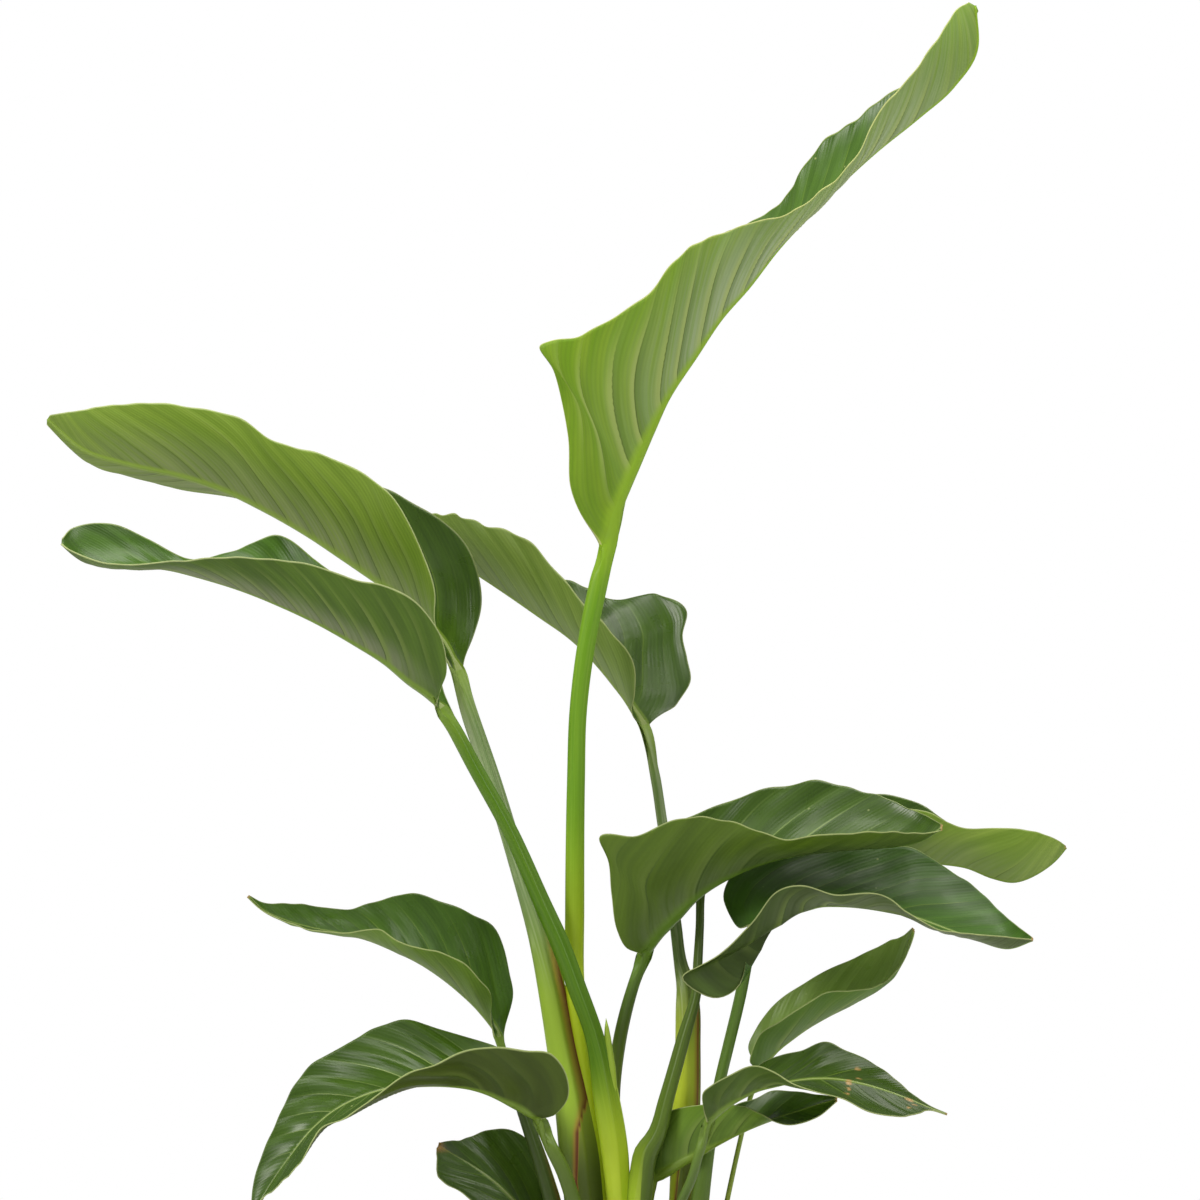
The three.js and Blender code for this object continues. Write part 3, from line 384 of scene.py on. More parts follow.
LEAVES: tuple[LeafPlan, ...] = (
    LeafPlan(
        name="leaf_tall", leans=Lean.RIGHT, dry_tip=0.0, pleat_height=1.6, crinkle=0.8,
        stalk=(
            (-24, 8, 184, 9), (-31, 8, 300, 8.3), (-38, 8, 360, 8), (-44, 8, 400, 7.5),
            (-49, 8, 450, 7.5), (-49, 8, 500, 7.5), (-48, 6, 600, 7), (-46.5, 5, 650, 6.8),
            (-40.5, 3, 700, 7), (-30.5, 1, 750, 7.2), (-23.5, 0, 777, 6.4),
        ),
        blade=(
            (-23.5, 0, 777, -31, -2, 777, -18.5, 5, 781),
            (-21.5, 0, 786, -45, -12, 800, -14, 28, 800),
            (-19.5, 0, 796, -52.5, -20, 820, -12, 50, 828),
            (-16, 1, 808, -54, -26, 858, -14, 66, 866),
            (-11, 2, 820, -64, -30, 906, -20, 74, 900),
            (-4, 4, 836, -75, -32, 924, -14, 78, 922),
            (8, 7, 862, -42, -30, 934.5, 0, 80, 944.5),
            (22, 11, 890, 1, -26, 959.5, 18, 80, 966),
            (41, 15, 918, 26, -20, 990.5, 35, 76, 986.5),
            (60, 18, 946, 51, -18, 1005.5, 55, 70, 1004.5),
            (82, 21, 971, 80, -20, 1016.5, 80, 66, 1020),
            (103, 24, 998, 110, -22, 1025, 105, 66, 1032),
            (126.5, 26, 1023.5, 138, -18, 1041, 120, 62, 1056),
            (151, 28, 1048, 161, -14, 1068, 140, 62, 1082),
            (179, 29, 1073, 180, -8, 1101, 165.5, 58, 1099.5),
            (209, 30, 1097, 204, 0, 1130, 192, 54, 1118.5),
            (236, 30, 1121, 224, 10, 1157, 220, 48, 1138),
            (253.5, 29, 1150, 237, 20, 1178, 242, 38, 1160),
            (252, 28, 1182, 247, 27, 1184, 254.5, 30, 1178),
        ),
    ),
    LeafPlan(
        name="leaf_upper_left", leans=Lean.LEFT, sheath_top=500.0, sheath_joint=360.0,
        seam_softness=38.0, dry_tip=0.0,
        stalk=(
            (-34, 4, 184, 17), (-41, 4, 285, 17), (-45, 4, 322, 17), (-50.5, 4, 360, 15),
            (-57.5, 5, 397, 13), (-64.5, 7, 435, 11.6), (-74.5, 10, 479, 9.3),
            (-92.5, 17, 540, 7.4), (-111, 25, 600, 7), (-129.5, 32, 654, 6.7), (-137, 35, 682, 6),
        ),
        blade=(
            (-137, 35, 682, -142, 30, 685, -133, 38, 680),
            (-141, 35, 690, -149, 20, 699, -132, 52, 690),
            (-148, 36, 703, -154, 12, 720, -125, 66, 708),
            (-160, 37, 718, -154, 8, 742, -120, 78, 730),
            (-176, 38, 735, -163, 8, 770, -123, 84, 758),
            (-200, 38, 751, -183, 10, 810, -138, 88, 786),
            (-224, 37, 767, -204, 14, 827, -166, 88, 805),
            (-250, 36, 784, -240, 18, 845, -200, 84, 822),
            (-280, 34, 801, -276, 22, 855, -246, 84, 826),
            (-310, 31, 816, -304, 22, 873, -290, 80, 817),
            (-345, 28, 828, -345, 20, 881, -334, 70, 818.5),
            (-385, 24, 837, -388, 20, 882.5, -380, 58, 828),
            (-418, 20, 848, -420, 18, 877.5, -416, 38, 839),
            (-445, 16, 871, -443, 15, 874, -445.5, 18, 867),
        ),
    ),
    LeafPlan(
        name="leaf_long_left", leans=Lean.LEFT, sheath_top=420.0, dry_tip=0.0,
        spur=(
            (-19, -9, 340, 4.5), (-22.5, -9, 385, 4.2), (-24.5, -9, 409, 2.4),
            (-25.5, -9, 422, 0.5),
        ),
        stalk=(
            (-10, -8, 184, 10.5), (-16, -9, 285, 9.6), (-19, -9.5, 322, 11), (-25, -10, 360, 10.7),
            (-34.5, -11, 409, 7.7), (-47.5, -12, 445, 7.7), (-60.5, -13, 479, 7.8),
            (-73, -14, 507, 7.2), (-97.5, -16, 562, 6.4), (-125.5, -18, 613, 6),
            (-140, -19.5, 640, 5.7), (-149, -20, 654, 5.3),
        ),
        blade=(
            (-149, -20, 654, -152, -24, 655, -143, -15, 654),
            (-153, -21, 660, -149, -38, 668, -139, -6, 648),
            (-160, -23, 666, -144, -52, 684, -146, 6, 664),
            (-172, -25, 674, -147, -62, 705, -152, 14, 684),
            (-190, -28, 688.5, -160, -70, 726, -164, 18, 706),
            (-213, -31, 702.5, -182, -74, 743, -186, 18, 728),
            (-240, -34, 717.5, -212, -76, 750, -214, 14, 743.5),
            (-268, -37, 730.5, -245, -76, 761, -243, 6, 766),
            (-298, -40, 742.5, -280, -76, 767, -270, -2, 783.5),
            (-328, -43, 751.5, -315, -76, 766, -304, -8, 772),
            (-355, -46, 758, -348, -76, 764, -338, -14, 766),
            (-380, -49, 759.5, -378, -76, 762, -370, -20, 782),
            (-403, -52, 761, -404, -74, 764, -398, -30, 792.5),
            (-419, -55, 766, -424, -66, 772, -424, -44, 789),
            (-432, -57, 777, -432, -59, 777, -431, -55, 781),
        ),
    ),
    LeafPlan(
        name="leaf_back", leans=Lean.LEFT, sheath_top=470.0, sheath_joint=340.0, seam_softness=13.0,
        crinkle=1.6,
        stalk=(
            (26, 10, 184, 10), (31, 16, 285, 9.5), (35, 16, 360, 11), (36, 16, 400, 10),
            (36, 18, 430, 9.5), (35, 20, 445, 8), (31, 25, 460, 5.5), (27, 32, 490, 4.7),
            (21, 42, 540, 4.3), (16.5, 46, 570, 4.1), (12, 48, 600, 4), (3, 50, 641, 4),
        ),
        blade=(
            (3, 50, 641, -2, 47, 644, 8, 54, 642),
            (0, 52, 646, -6, 38, 651, 16, 60, 649),
            (-4, 54, 652, -4, 30, 664, 27, 68, 658),
            (-10, 57, 661, -4, 26, 682, 38.5, 78, 672),
            (-18, 61, 671, -10, 26, 696, 36.5, 90, 690),
            (-28, 66, 683, -22, 30, 711, 33, 100, 708),
            (-40, 72, 696, -36, 36, 723, 35.5, 110, 727),
            (-54, 80, 708, -46, 44, 738, 12, 120, 740),
            (-72, 90, 720, -57, 54, 754, -18, 126, 736),
            (-94, 104, 735, -80, 70, 774.5, -48, 134, 746),
            (-118, 122, 751, -108, 92, 790, -86, 148, 762),
            (-145, 142, 768, -140, 118, 799, -124, 164, 772),
            (-168, 158, 783, -167, 142, 802, -158, 170, 784),
            (-188, 170, 799, -188, 168, 801, -189, 172, 797),
        ),
    ),
    LeafPlan(
        name="leaf_middle_right", leans=Lean.RIGHT, pleat_height=1.5, crinkle=1.0,
        stalk=(
            (-4, 14, 184, 7), (-12, 15, 285, 6.5), (-18, 15, 322, 5.8), (-20, 15, 360, 5.4),
            (-16, 15, 400, 5.4), (-9.5, 13, 430, 5), (-3.5, 11, 450, 4.7), (4, 8, 471, 5.5),
        ),
        blade=(
            (4, 8, 471, -1, 4, 470, 9, 12, 473),
            (7, 7, 475, -11, -8, 475, 10, 20, 484),
            (10, 6, 479, -19, -18, 490, 8, 24, 500),
            (14, 4, 484, -21.5, -26, 515, 8, 25, 520),
            (20, 2, 490, -23, -32, 538, 12, 25, 540),
            (28, 0, 498, -30.5, -36, 557, 16, 24, 552),
            (38, -3, 508, -4, -42, 559.5, 24, 22, 563.5),
            (52, -6, 519, 28, -46, 572, 40, 22, 573),
            (70, -9, 529, 52, -50, 572, 62, 24, 582),
            (92, -12, 538, 80, -52, 566, 86, 26, 591.5),
            (116, -15, 544, 108, -54, 556.5, 110, 27, 596),
            (142, -18, 547, 136, -54, 560.5, 136, 26, 598),
            (168, -21, 549, 166, -51, 561, 163, 20, 593),
            (192, -24, 551, 192, -44, 562, 190, 8, 584),
            (212, -27, 556, 212, -36, 561, 211, -8, 575),
            (226, -30, 565, 226, -32, 563, 226, -28, 567),
        ),
    ),
    LeafPlan(
        name="leaf_far_right", leans=Lean.RIGHT, sheath_joint=345.0,
        stalk=(
            (4, -8, 184, 9.5), (-1.5, -10, 285, 11), (1, -11, 303, 10), (4.5, -12, 321, 9.6),
            (12.5, -13, 335, 7.5), (19.5, -12, 360, 6.3), (33, -5, 408, 5.4), (42, 2, 440, 4.2),
            (43.5, 10, 464, 3.8), (45, 20, 490, 3.4), (46, 28, 515, 3.4), (50, 36, 532, 3.4),
            (54, 44, 540, 3.4),
        ),
        blade=(
            (54, 44, 540, 55, 40, 541, 52, 48, 542),
            (64, 50, 545, 62, 40, 552, 56, 62, 553),
            (80, 57, 549, 74, 41, 564, 70, 76, 564),
            (105, 63, 551, 98, 43, 574, 94, 86, 574),
            (135, 67, 551, 128, 46, 579, 124, 92, 581),
            (165, 69, 549, 160, 49, 581, 156, 94, 587),
            (195, 69, 544, 191, 51, 579, 188, 94, 587),
            (222, 67, 537, 219, 52, 574, 216, 90, 579),
            (247, 64, 533, 243, 51, 564.5, 242, 84, 562),
            (266, 60, 525.5, 266, 48, 563.5, 262, 78, 559),
            (284, 56, 522.8, 288, 44, 562, 284, 72, 556),
            (302, 52, 530.5, 304, 44, 559, 303, 66, 553),
            (314, 50, 540, 315, 44, 554, 314, 58, 551),
            (321, 48, 548.5, 320.5, 47, 550, 320, 50, 549),
        ),
    ),
    LeafPlan(
        name="leaf_lower_right", leans=Lean.RIGHT,
        stalk=(
            (36, 2, 184, 9), (44, 2, 285, 9), (48, 1, 310, 7.5), (53, 1, 335, 5.5),
            (60, -2, 375, 5), (66, -3, 400, 5), (75.5, -5, 440, 5), (82, -7, 475, 5),
            (87.5, -8, 491, 4.6),
        ),
        blade=(
            (87.5, -8, 491, 84, -12, 488, 83, -3, 492),
            (92, -9, 495.5, 80, -24, 471, 74.5, 8, 489),
            (98, -11, 498, 73.5, -36, 446, 67.5, 18, 497),
            (105, -13, 500, 56, -44, 437, 62.5, 26, 511),
            (111, -15, 502, 31, -46, 452, 68, 32, 528),
            (118, -17, 503, 60, -46, 471, 80, 36, 540),
            (126, -19, 505, 82, -48, 492, 96, 38, 546),
            (136, -21, 507, 100, -52, 516, 116, 38, 549),
            (148, -23, 507, 122, -56, 523, 138, 38, 550),
            (163, -26, 506, 146, -60, 514, 160, 36, 550),
            (182, -30, 503, 176, -64, 516.5, 182, 32, 550),
            (204, -35, 498, 200, -66, 503, 206, 26, 548),
            (228, -41, 489.5, 222, -66, 489, 232, 16, 532),
            (252, -47, 481, 250, -66, 486, 256, 0, 516),
            (275, -53, 475, 274, -64, 484, 276, -22, 496),
            (293, -58, 481, 293, -60, 482, 293, -54, 483),
        ),
    ),
    LeafPlan(
        name="leaf_small_right", leans=Lean.RIGHT,
        stalk=(
            (50, 10, 184, 3), (55, 10, 230, 2.6), (66, 10, 287, 2.1), (77, 11, 337, 2),
            (83, 12, 362, 2), (89, 14, 383.5, 2.6),
        ),
        blade=(
            (89, 14, 383.5, 85, 10, 384.5, 92, 18, 385.5),
            (93, 14, 386.5, 82, -2, 389.5, 84, 28, 391.5),
            (98, 15, 391.5, 84, -8, 399.5, 81, 34, 399.5),
            (104, 16, 397.5, 90, -12, 410.5, 87, 38, 411.5),
            (113, 18, 404.5, 104, -14, 418.5, 96, 42, 424.5),
            (126, 20, 413.5, 120, -14, 430.5, 110, 44, 437.5),
            (142, 22, 422.5, 138, -12, 439.5, 128, 46, 448),
            (160, 25, 431.5, 158, -8, 442.5, 150, 48, 461.5),
            (178, 28, 443, 178, 2, 446.5, 172, 50, 470.5),
            (190, 32, 453.5, 189, 14, 451.5, 188, 50, 477.5),
            (199, 36, 469.5, 200, 28, 468.5, 198, 48, 482.5),
            (206, 40, 487.5, 207, 39, 485.5, 205, 42, 488.5),
        ),
    ),
    LeafPlan(
        name="leaf_small_front",
        spots=(
            (0.63, -0.6, 2.2), (0.65, -0.2, 1.6), (0.62, 0.04, 2.6), (0.615, 0.22, 2.0),
            (0.605, 0.42, 2.0), (0.86, 0.05, 3.4), (0.875, 0.3, 2.4), (0.84, 0.55, 2.2),
        ),
        leans=Lean.RIGHT,
        stalk=(
            (14, -24, 184, 5), (22, -36, 240, 4), (31, -48, 286, 3.8), (38, -54, 302, 3.8),
            (44, -58, 322, 3.8), (52, -62, 347, 4),
        ),
        blade=(
            (52, -62, 347, 49, -65, 346, 55, -59, 348),
            (56, -63, 351, 47, -74, 355, 57, -52, 356),
            (61, -64, 355, 46, -82, 367, 62, -44, 363),
            (68, -65, 360, 52, -88, 373, 70, -38, 371),
            (77, -67, 365, 66, -94, 381, 80, -34, 381),
            (88, -70, 370, 82, -98, 389, 92, -34, 391),
            (100, -73, 373, 98, -102, 384, 106, -38, 394),
            (113, -76, 376, 113, -108, 375.5, 120, -44, 398.5),
            (128, -80, 378, 130, -114, 372, 136, -50, 404.5),
            (146, -84, 378, 150, -118, 364, 154, -56, 398),
            (164, -89, 375, 170, -120, 355, 172, -64, 392),
            (182, -94, 370, 190, -118, 352, 188, -76, 379),
            (199, -99, 364, 205, -112, 353, 203, -90, 367),
            (216, -104, 357, 216, -106, 356, 216, -102, 359),
            (228, -107, 353, 228, -108.5, 352.6, 228, -105.5, 353.6),
        ),
    ),
    LeafPlan(
        name="leaf_low_right", leans=Lean.RIGHT,
        stalk=(
            (11, 6, 184, 3.8), (7, 5, 285, 3.6), (10, 3, 299, 3.5),
        ),
        blade=(
            (10, 3, 299, 8, 1, 301, 12, 5, 299),
            (15, 0, 303, 8, 4, 314, 14, 6, 306),
            (22, -5, 308, 10, 2, 333, 24, 0, 312),
            (32, -9, 314, 16, 1, 348, 36, -3, 328),
            (44, -14, 320, 32, -12, 354, 46, -7, 340),
            (57, -19, 327, 50, -28, 358, 58, -12, 348),
            (71, -24, 334, 68, -36, 358, 72, -10, 356),
            (86, -29, 341, 84, -42, 354.5, 86, -12, 362),
            (101, -33, 347, 98, -48, 348, 99, -14, 367),
            (116, -37, 352, 113, -52, 343, 115, -18, 367),
            (131, -41, 357, 130, -50, 347.5, 131, -26, 365.5),
            (147, -45, 362, 147, -47, 361, 147, -43, 364),
        ),
    ),
    LeafPlan(
        name="leaf_left", leans=Lean.LEFT,
        stalk=(
            (-50, 0, 184, 9), (-56, 0, 230, 8), (-66, 0, 285, 7), (-72, 0, 305, 6.5),
            (-82, 0, 335, 5.5), (-95, 2, 372, 4), (-104, 3.5, 400, 3.4), (-106, 4, 407, 3.4),
        ),
        blade=(
            (-106, 4, 407, -109, 1, 408, -102, 8, 408),
            (-107, 4, 411, -111, -8, 418, -101, 14, 415),
            (-110, 3, 416, -111, -16, 431, -95, 22, 438),
            (-115, 2, 422, -112, -24, 442, -98, 28, 455),
            (-123, 1, 431, -120, -30, 451, -102, 34, 474),
            (-134, 0, 441, -131, -34, 464, -110, 36, 490),
            (-148, 0, 452, -147, -36, 470, -128, 32, 499),
            (-165, 0, 463, -164, -36, 474, -148, 30, 508),
            (-184, 1, 472, -180, -33, 481, -172, 30, 515),
            (-204, 3, 480, -196, -28, 488, -196, 30, 508),
            (-225, 6, 485, -218, -20, 486, -220, 28, 503.5),
            (-247, 9, 489, -242, -10, 488, -245, 27, 505),
            (-270, 13, 496, -266, 2, 494, -268, 22, 507),
            (-284, 16, 503, -283, 13, 502, -283, 20, 508),
            (-294, 18, 513, -295, 17, 512, -293, 19, 513),
        ),
    ),
    LeafPlan(
        name="leaf_lower_left", leans=Lean.LEFT, pleat_height=1.9,
        stalk=(
            (-36, -18, 184, 8.5), (-41, -24, 240, 7), (-50.5, -30, 287, 6.2), (-57.5, -35, 308, 6),
            (-67, -40, 327, 5.5), (-76, -44, 348.5, 4.8),
        ),
        blade=(
            (-76, -44, 348.5, -72, -48, 348.5, -79, -40, 350.5),
            (-80, -45, 350.5, -63, -58, 351.5, -78, -32, 355.5),
            (-84, -46, 352.5, -54, -66, 363.5, -76, -24, 363.5),
            (-89, -47, 355.5, -55, -74, 381.5, -78, -18, 373.5),
            (-95, -49, 358.5, -66, -80, 396.5, -82, -14, 383.5),
            (-103, -51, 362.5, -86, -84, 399, -92, -12, 391.5),
            (-114, -54, 367.5, -108, -88, 402, -108, -12, 399.5),
            (-128, -58, 371.5, -132, -92, 399, -128, -14, 407.5),
            (-145, -62, 373.5, -154, -106, 391, -150, -18, 414.5),
            (-164, -66, 373.5, -176, -110, 380.5, -176, -24, 420.5),
            (-184, -71, 371.5, -197, -114, 365.5, -198, -32, 415),
            (-205, -77, 366, -218, -118, 352, -220, -42, 402.5),
            (-226, -84, 356, -238, -122, 341, -243, -54, 390),
            (-244.5, -92, 341, -253.5, -122, 316.5, -260.5, -68, 369),
            (-261.5, -100, 320, -269.5, -118, 299.5, -273.5, -84, 341),
            (-276.5, -108, 298, -281.5, -118, 290, -287.5, -100, 303),
            (-287.5, -113, 279, -287.5, -115, 279, -289.5, -111, 282),
        ),
    ),
    LeafPlan(
        name="leaf_lowest", leans=Lean.LEFT, dry_tip=0.07,
        stalk=(
            (-54, 15, 184, 6), (-58, 16, 215, 4.5), (-64, 16, 241.5, 4),
        ),
        blade=(
            (-64, 16, 241.5, -68, 14, 239.5, -61, 18, 244.5),
            (-67, 15, 247.5, -80, 6, 242.5, -62, 22, 263.5),
            (-72, 14, 255.5, -94, 0, 249.5, -64, 26, 286.5),
            (-80, 12, 266.5, -108, -6, 261.5, -72, 27, 311.5),
            (-90, 9, 278.5, -120, -12, 277.5, -86, 26, 331.5),
            (-101, 5, 290.5, -134, -18, 291.5, -104, 22, 337.5),
            (-113, 0, 301.5, -146, -22, 298, -122, 14, 334.5),
            (-127, -6, 311.5, -151.5, -22, 306, -136, 4, 329.5),
            (-140, -12, 319.5, -152, -20, 318.5, -145, -6, 329.5),
            (-151, -17, 326.5, -152, -18, 324.5, -150, -16, 328.5),
        ),
    ),
)


# ---- Finishes ----


@dataclass(frozen=True)
class LeafFinish:
    """Fresh leaf: a waxy, half glossy upper side, a matt underside with a bloom and a painted
    sheen, a smooth stalk.

    The upper side gives broad soft highlights; the underside stays even and shows its pleats. On
    both sides the pleats' ridges get a painted highlight and their creases and hollows get painted
    shade. The streaks' spans are their spacing along the midrib and out from it, or up and round
    the stalk.
    """

    name: str
    upper: str = "334f10"
    upper_light: str = "4b6c18"
    upper_line: str = "7b9636"  # of the stronger side veins
    upper_line_share: float = 0.5
    under: str = "5b7a22"
    under_light: str = "7b9636"
    # painted shade in the pleats' creases and hollows on the underside; also the colour of its fine
    # side veins
    vein_and_shade: str = "3d5618"
    # painted highlight on the pleats' ridges on the underside
    ridge_highlight: str = "869c4c"
    # pale waxy bloom beside the midrib, with a painted grey sheen in it
    bloom_and_sheen: str = "98a584"
    rib: str = "7b9a30"
    margin: str = "adb97a"
    stalk: str = "557a22"
    stalk_light: str = "7c9a4c"
    stalk_foot: str = "93a534"
    foot_span: Span = (0.2, 0.47)  # heights between which the foot's colour fades
    foot_shade: str = "4a5c24"  # painted shade on a stalk's foot that stands in the shade of the others
    shade_span: Span = (0.0, 0.0)  # heights between which the shade fades; none if alike
    bloom_and_sheen_span: Span = (0.0, 0.1)  # shares of the blade over which the bloom and its painted sheen set in
    bloom_and_sheen_reach: float = 34 * MM  # how far from the midrib the bloom and its painted sheen are seen
    bloom_and_sheen_share: float = 0.35
    band_fade: tuple[float, ...] = (0.3, 0.75, 0.1, 0.7)  # how streaks turn to the lighter colour
    vein_share: float = 0.16  # how dark the side veins are on the underside
    upper_vein_share: float = 0.16  # how light they are on the upper side
    least_crease: float = 0.45  # strength of the weakest crease; the strongest has 1
    crease_shade_share: float = 0.8
    ridge_highlight_share: float = 0.55
    upper_ridge_highlight_share: float = 0.5
    hollow_shade_share: float = 0.25
    upper_hollow_shade_share: float = 0.35
    rib_reach: float = 3.5 * MM  # width of the midrib's paler seam at the blade's foot, below
    upper_rib_reach: float = 2.5 * MM  # the same on the upper side
    margin_width: float = 0.9 * MM
    under_seam_share: float = 0.75  # how strongly midrib and margin line show on the underside
    upper_seam_share: float = 0.5  # the same on the upper side
    sheath_inside: str = "9cb03a"
    sheath_edge: str = "85452a"
    sheath_flush: str = "b4823a"  # beside the edge
    sheath_edge_share: float = 0.2
    dry: str = "b08c52"
    upper_roughness: float = 0.3
    under_roughness: float = 0.56
    stalk_roughness: float = 0.4
    vein_spacing: float = 4.2 * MM  # side veins; real ones are 1 to 2 mm apart, too fine to show
    pleat_spacing: float = 20 * MM
    vein_lean: float = 0.85  # how far the side veins slant to the tip, for each millimetre outwards
    vein_bend: float = 0.35  # how much more they slant at the margin
    upper_streaks: Span = (12 * MM, 50 * MM)
    upper_folds: Span = (7 * MM, 80 * MM)
    under_streaks: Span = (14 * MM, 60 * MM)
    bloom_and_sheen_grain: Span = (5 * MM, 90 * MM)
    stalk_fibres: Span = (120 * MM, 1.6 * MM)  # real ones are 0.5 mm apart, too fine to show
    blotch_size: float = 22 * MM  # of more and less glossy wax
    pore_spacing: float = 24 * MM  # pale specks, few of which stand out on a real leaf

    def veins(self, tree: Tree) -> Socket:
        """Adds the fine parallel side veins, along the blade's own UV map.

        Args:
            tree: The material's node tree.

        Returns:
            Output between 0 and 1.
        """
        turns = 2 * math.pi / (20 * self.vein_spacing)  # the texture counts 20 radians a unit
        inputs = {
            "Vector": add_node(tree, "UVMap", uv_map="veins").outputs[0],
            "Scale": turns,
            "Distortion": 0.8,
            "Detail": 2.0,
            "Detail Scale": 0.4,
        }
        return add_node(tree, "TexWave", inputs, wave_type="BANDS", bands_direction="X").outputs[1]

    def streaks(self, tree: Tree, spacing: Span) -> Socket:
        """Adds streaks that run with the side veins, or up the stalk.

        Args:
            tree: The material's node tree.
            spacing: The streaks' spacing over the U and the V of the UV map, in metres.

        Returns:
            Output between 0 and 1.
        """
        uv = add_node(tree, "UVMap", uv_map="veins").outputs[0]
        scale = (1 / spacing[0], 1 / spacing[1], 1)
        stretched = add_node(tree, "Mapping", {"Vector": uv, "Scale": scale}).outputs[0]
        inputs = {"Vector": stretched, "Scale": 1.0, "Detail": 2.0}
        return add_node(tree, "TexNoise", inputs).outputs[0]

    def pleat(self, tree: Tree) -> tuple[Socket, Socket, Socket]:
        """Reads the pleats' UV map, whose U counts pleats and whose V runs across the blade.

        Args:
            tree: The material's node tree.

        Returns:
            Outputs between 0 and 1: along the creases, where the underside gets painted shade; on
                the ridges before them, which get a painted highlight; and in the hollows after
                them, which get painted shade.
        """
        uv = add_node(tree, "UVMap", uv_map="pleats").outputs[0]
        count, across, _ = add_node(tree, "SeparateXYZ", {0: uv}).outputs
        gap = add_node(tree, "Math", {0: count, 1: 0.5}, operation="PINGPONG").outputs[0]
        near = add_node(tree, "Math", {0: count}, operation="ROUND").outputs[0]
        chance = add_node(tree, "TexWhiteNoise", {"W": near}, noise_dimensions="1D").outputs[0]
        turn = add_node(tree, "Math", {0: count}, operation="FRACT").outputs[0]
        strength = faded(
            tree,
            Fade(across, 0.35, 1.0, 1.0, 0.25),  # weaker towards the margin
            Fade("along", 0.05, 0.22, 0.15, 1.0),  # on the blade's foot
            Fade("along", 0.72, 0.95, 1.0, 0.3),  # and on its tip
            Fade(chance, at_low=self.least_crease, at_high=1.0),
        )
        vein_and_shade = faded(tree, Fade(gap, 0.0, 0.05, 1.0, 0.0), strength)
        ridge_highlight = faded(tree, Fade(turn, 0.6, 0.94), strength)
        hollow_shade = faded(tree, Fade(turn, 0.0, 0.55, 1.0, 0.0), strength)
        return vein_and_shade, ridge_highlight, hollow_shade

    def edging(self, tree: Tree, rib_reach: float, share: float) -> tuple[Coat, ...]:
        """Gives what both sides share: the midrib's paler seam, the margin line and dry spots.

        Args:
            tree: The material's node tree.
            rib_reach: How far the pale seam reaches from the midrib at the blade's foot, in metres.
            share: How strongly the seam and the margin line show.

        Returns:
            The coats, in order.
        """
        along, rib_gap = (
            add_node(tree, "Attribute", attribute_name=name).outputs["Fac"]
            for name in ("along", "rib_gap")
        )
        tapered = {0: along, 1: -0.7 * rib_reach, 2: rib_reach}
        width = add_node(tree, "Math", tapered, operation="MULTIPLY_ADD").outputs[0]
        gap = add_node(tree, "Math", {0: rib_gap, 1: width}, operation="DIVIDE").outputs[0]
        return (
            Coat(self.rib, Fade(gap, at_low=share, at_high=0.0)),
            Coat(self.margin, Fade("edge_gap", 0.2 * MM, self.margin_width, share, 0.0)),
            Coat(self.dry, "dry"),
        )

    def upper_side(self) -> Material:
        """Makes the upper side, which natural wax gives broad and slightly uneven highlights; its
        pleats get a painted highlight on their ridges and painted shade in their hollows.

        Returns:
            The material.
        """
        material, tree = new_material(self.name + " waxy upper side")
        where = add_node(tree, "TexCoord").outputs["Object"]
        veins = self.veins(tree)
        bands = self.streaks(tree, self.upper_streaks)
        vein_and_shade, ridge_highlight, hollow_shade = self.pleat(tree)
        pores = add_node(tree, "TexVoronoi", {"Vector": where, "Scale": 1 / self.pore_spacing})
        blotches = {"Vector": where, "Scale": 1 / self.blotch_size, "Detail": 3.0}
        wax = add_node(tree, "TexNoise", blotches).outputs[0]
        coats = (
            Coat(self.upper_light, Fade(bands, *self.band_fade)),
            Coat(self.upper_light, Fade(veins, at_high=self.upper_vein_share)),
            # painted highlight on the pleats' ridges, then painted shade in their hollows
            Coat(self.upper_light, Fade(ridge_highlight, at_high=self.upper_ridge_highlight_share)),
            Coat(self.upper, Fade(hollow_shade, at_high=self.upper_hollow_shade_share)),
            Coat(self.upper_line, Fade(vein_and_shade, at_high=self.upper_line_share)),
            Coat(self.margin, Fade(pores.outputs["Distance"], 0.02, 0.05, 0.5, 0.0)),
            *self.edging(tree, self.upper_rib_reach, self.upper_seam_share),
        )
        least, most = self.upper_roughness - 0.05, self.upper_roughness + 0.08
        finish_material(
            tree,
            painted(tree, self.upper, coats),
            faded(tree, Fade(wax, 0.3, 0.7, least, most)),
            1.45,
            Grain(veins, 0.4, 0.12 * MM),
            Grain(self.streaks(tree, self.upper_folds), 0.4, 0.6 * MM),
        )
        return material

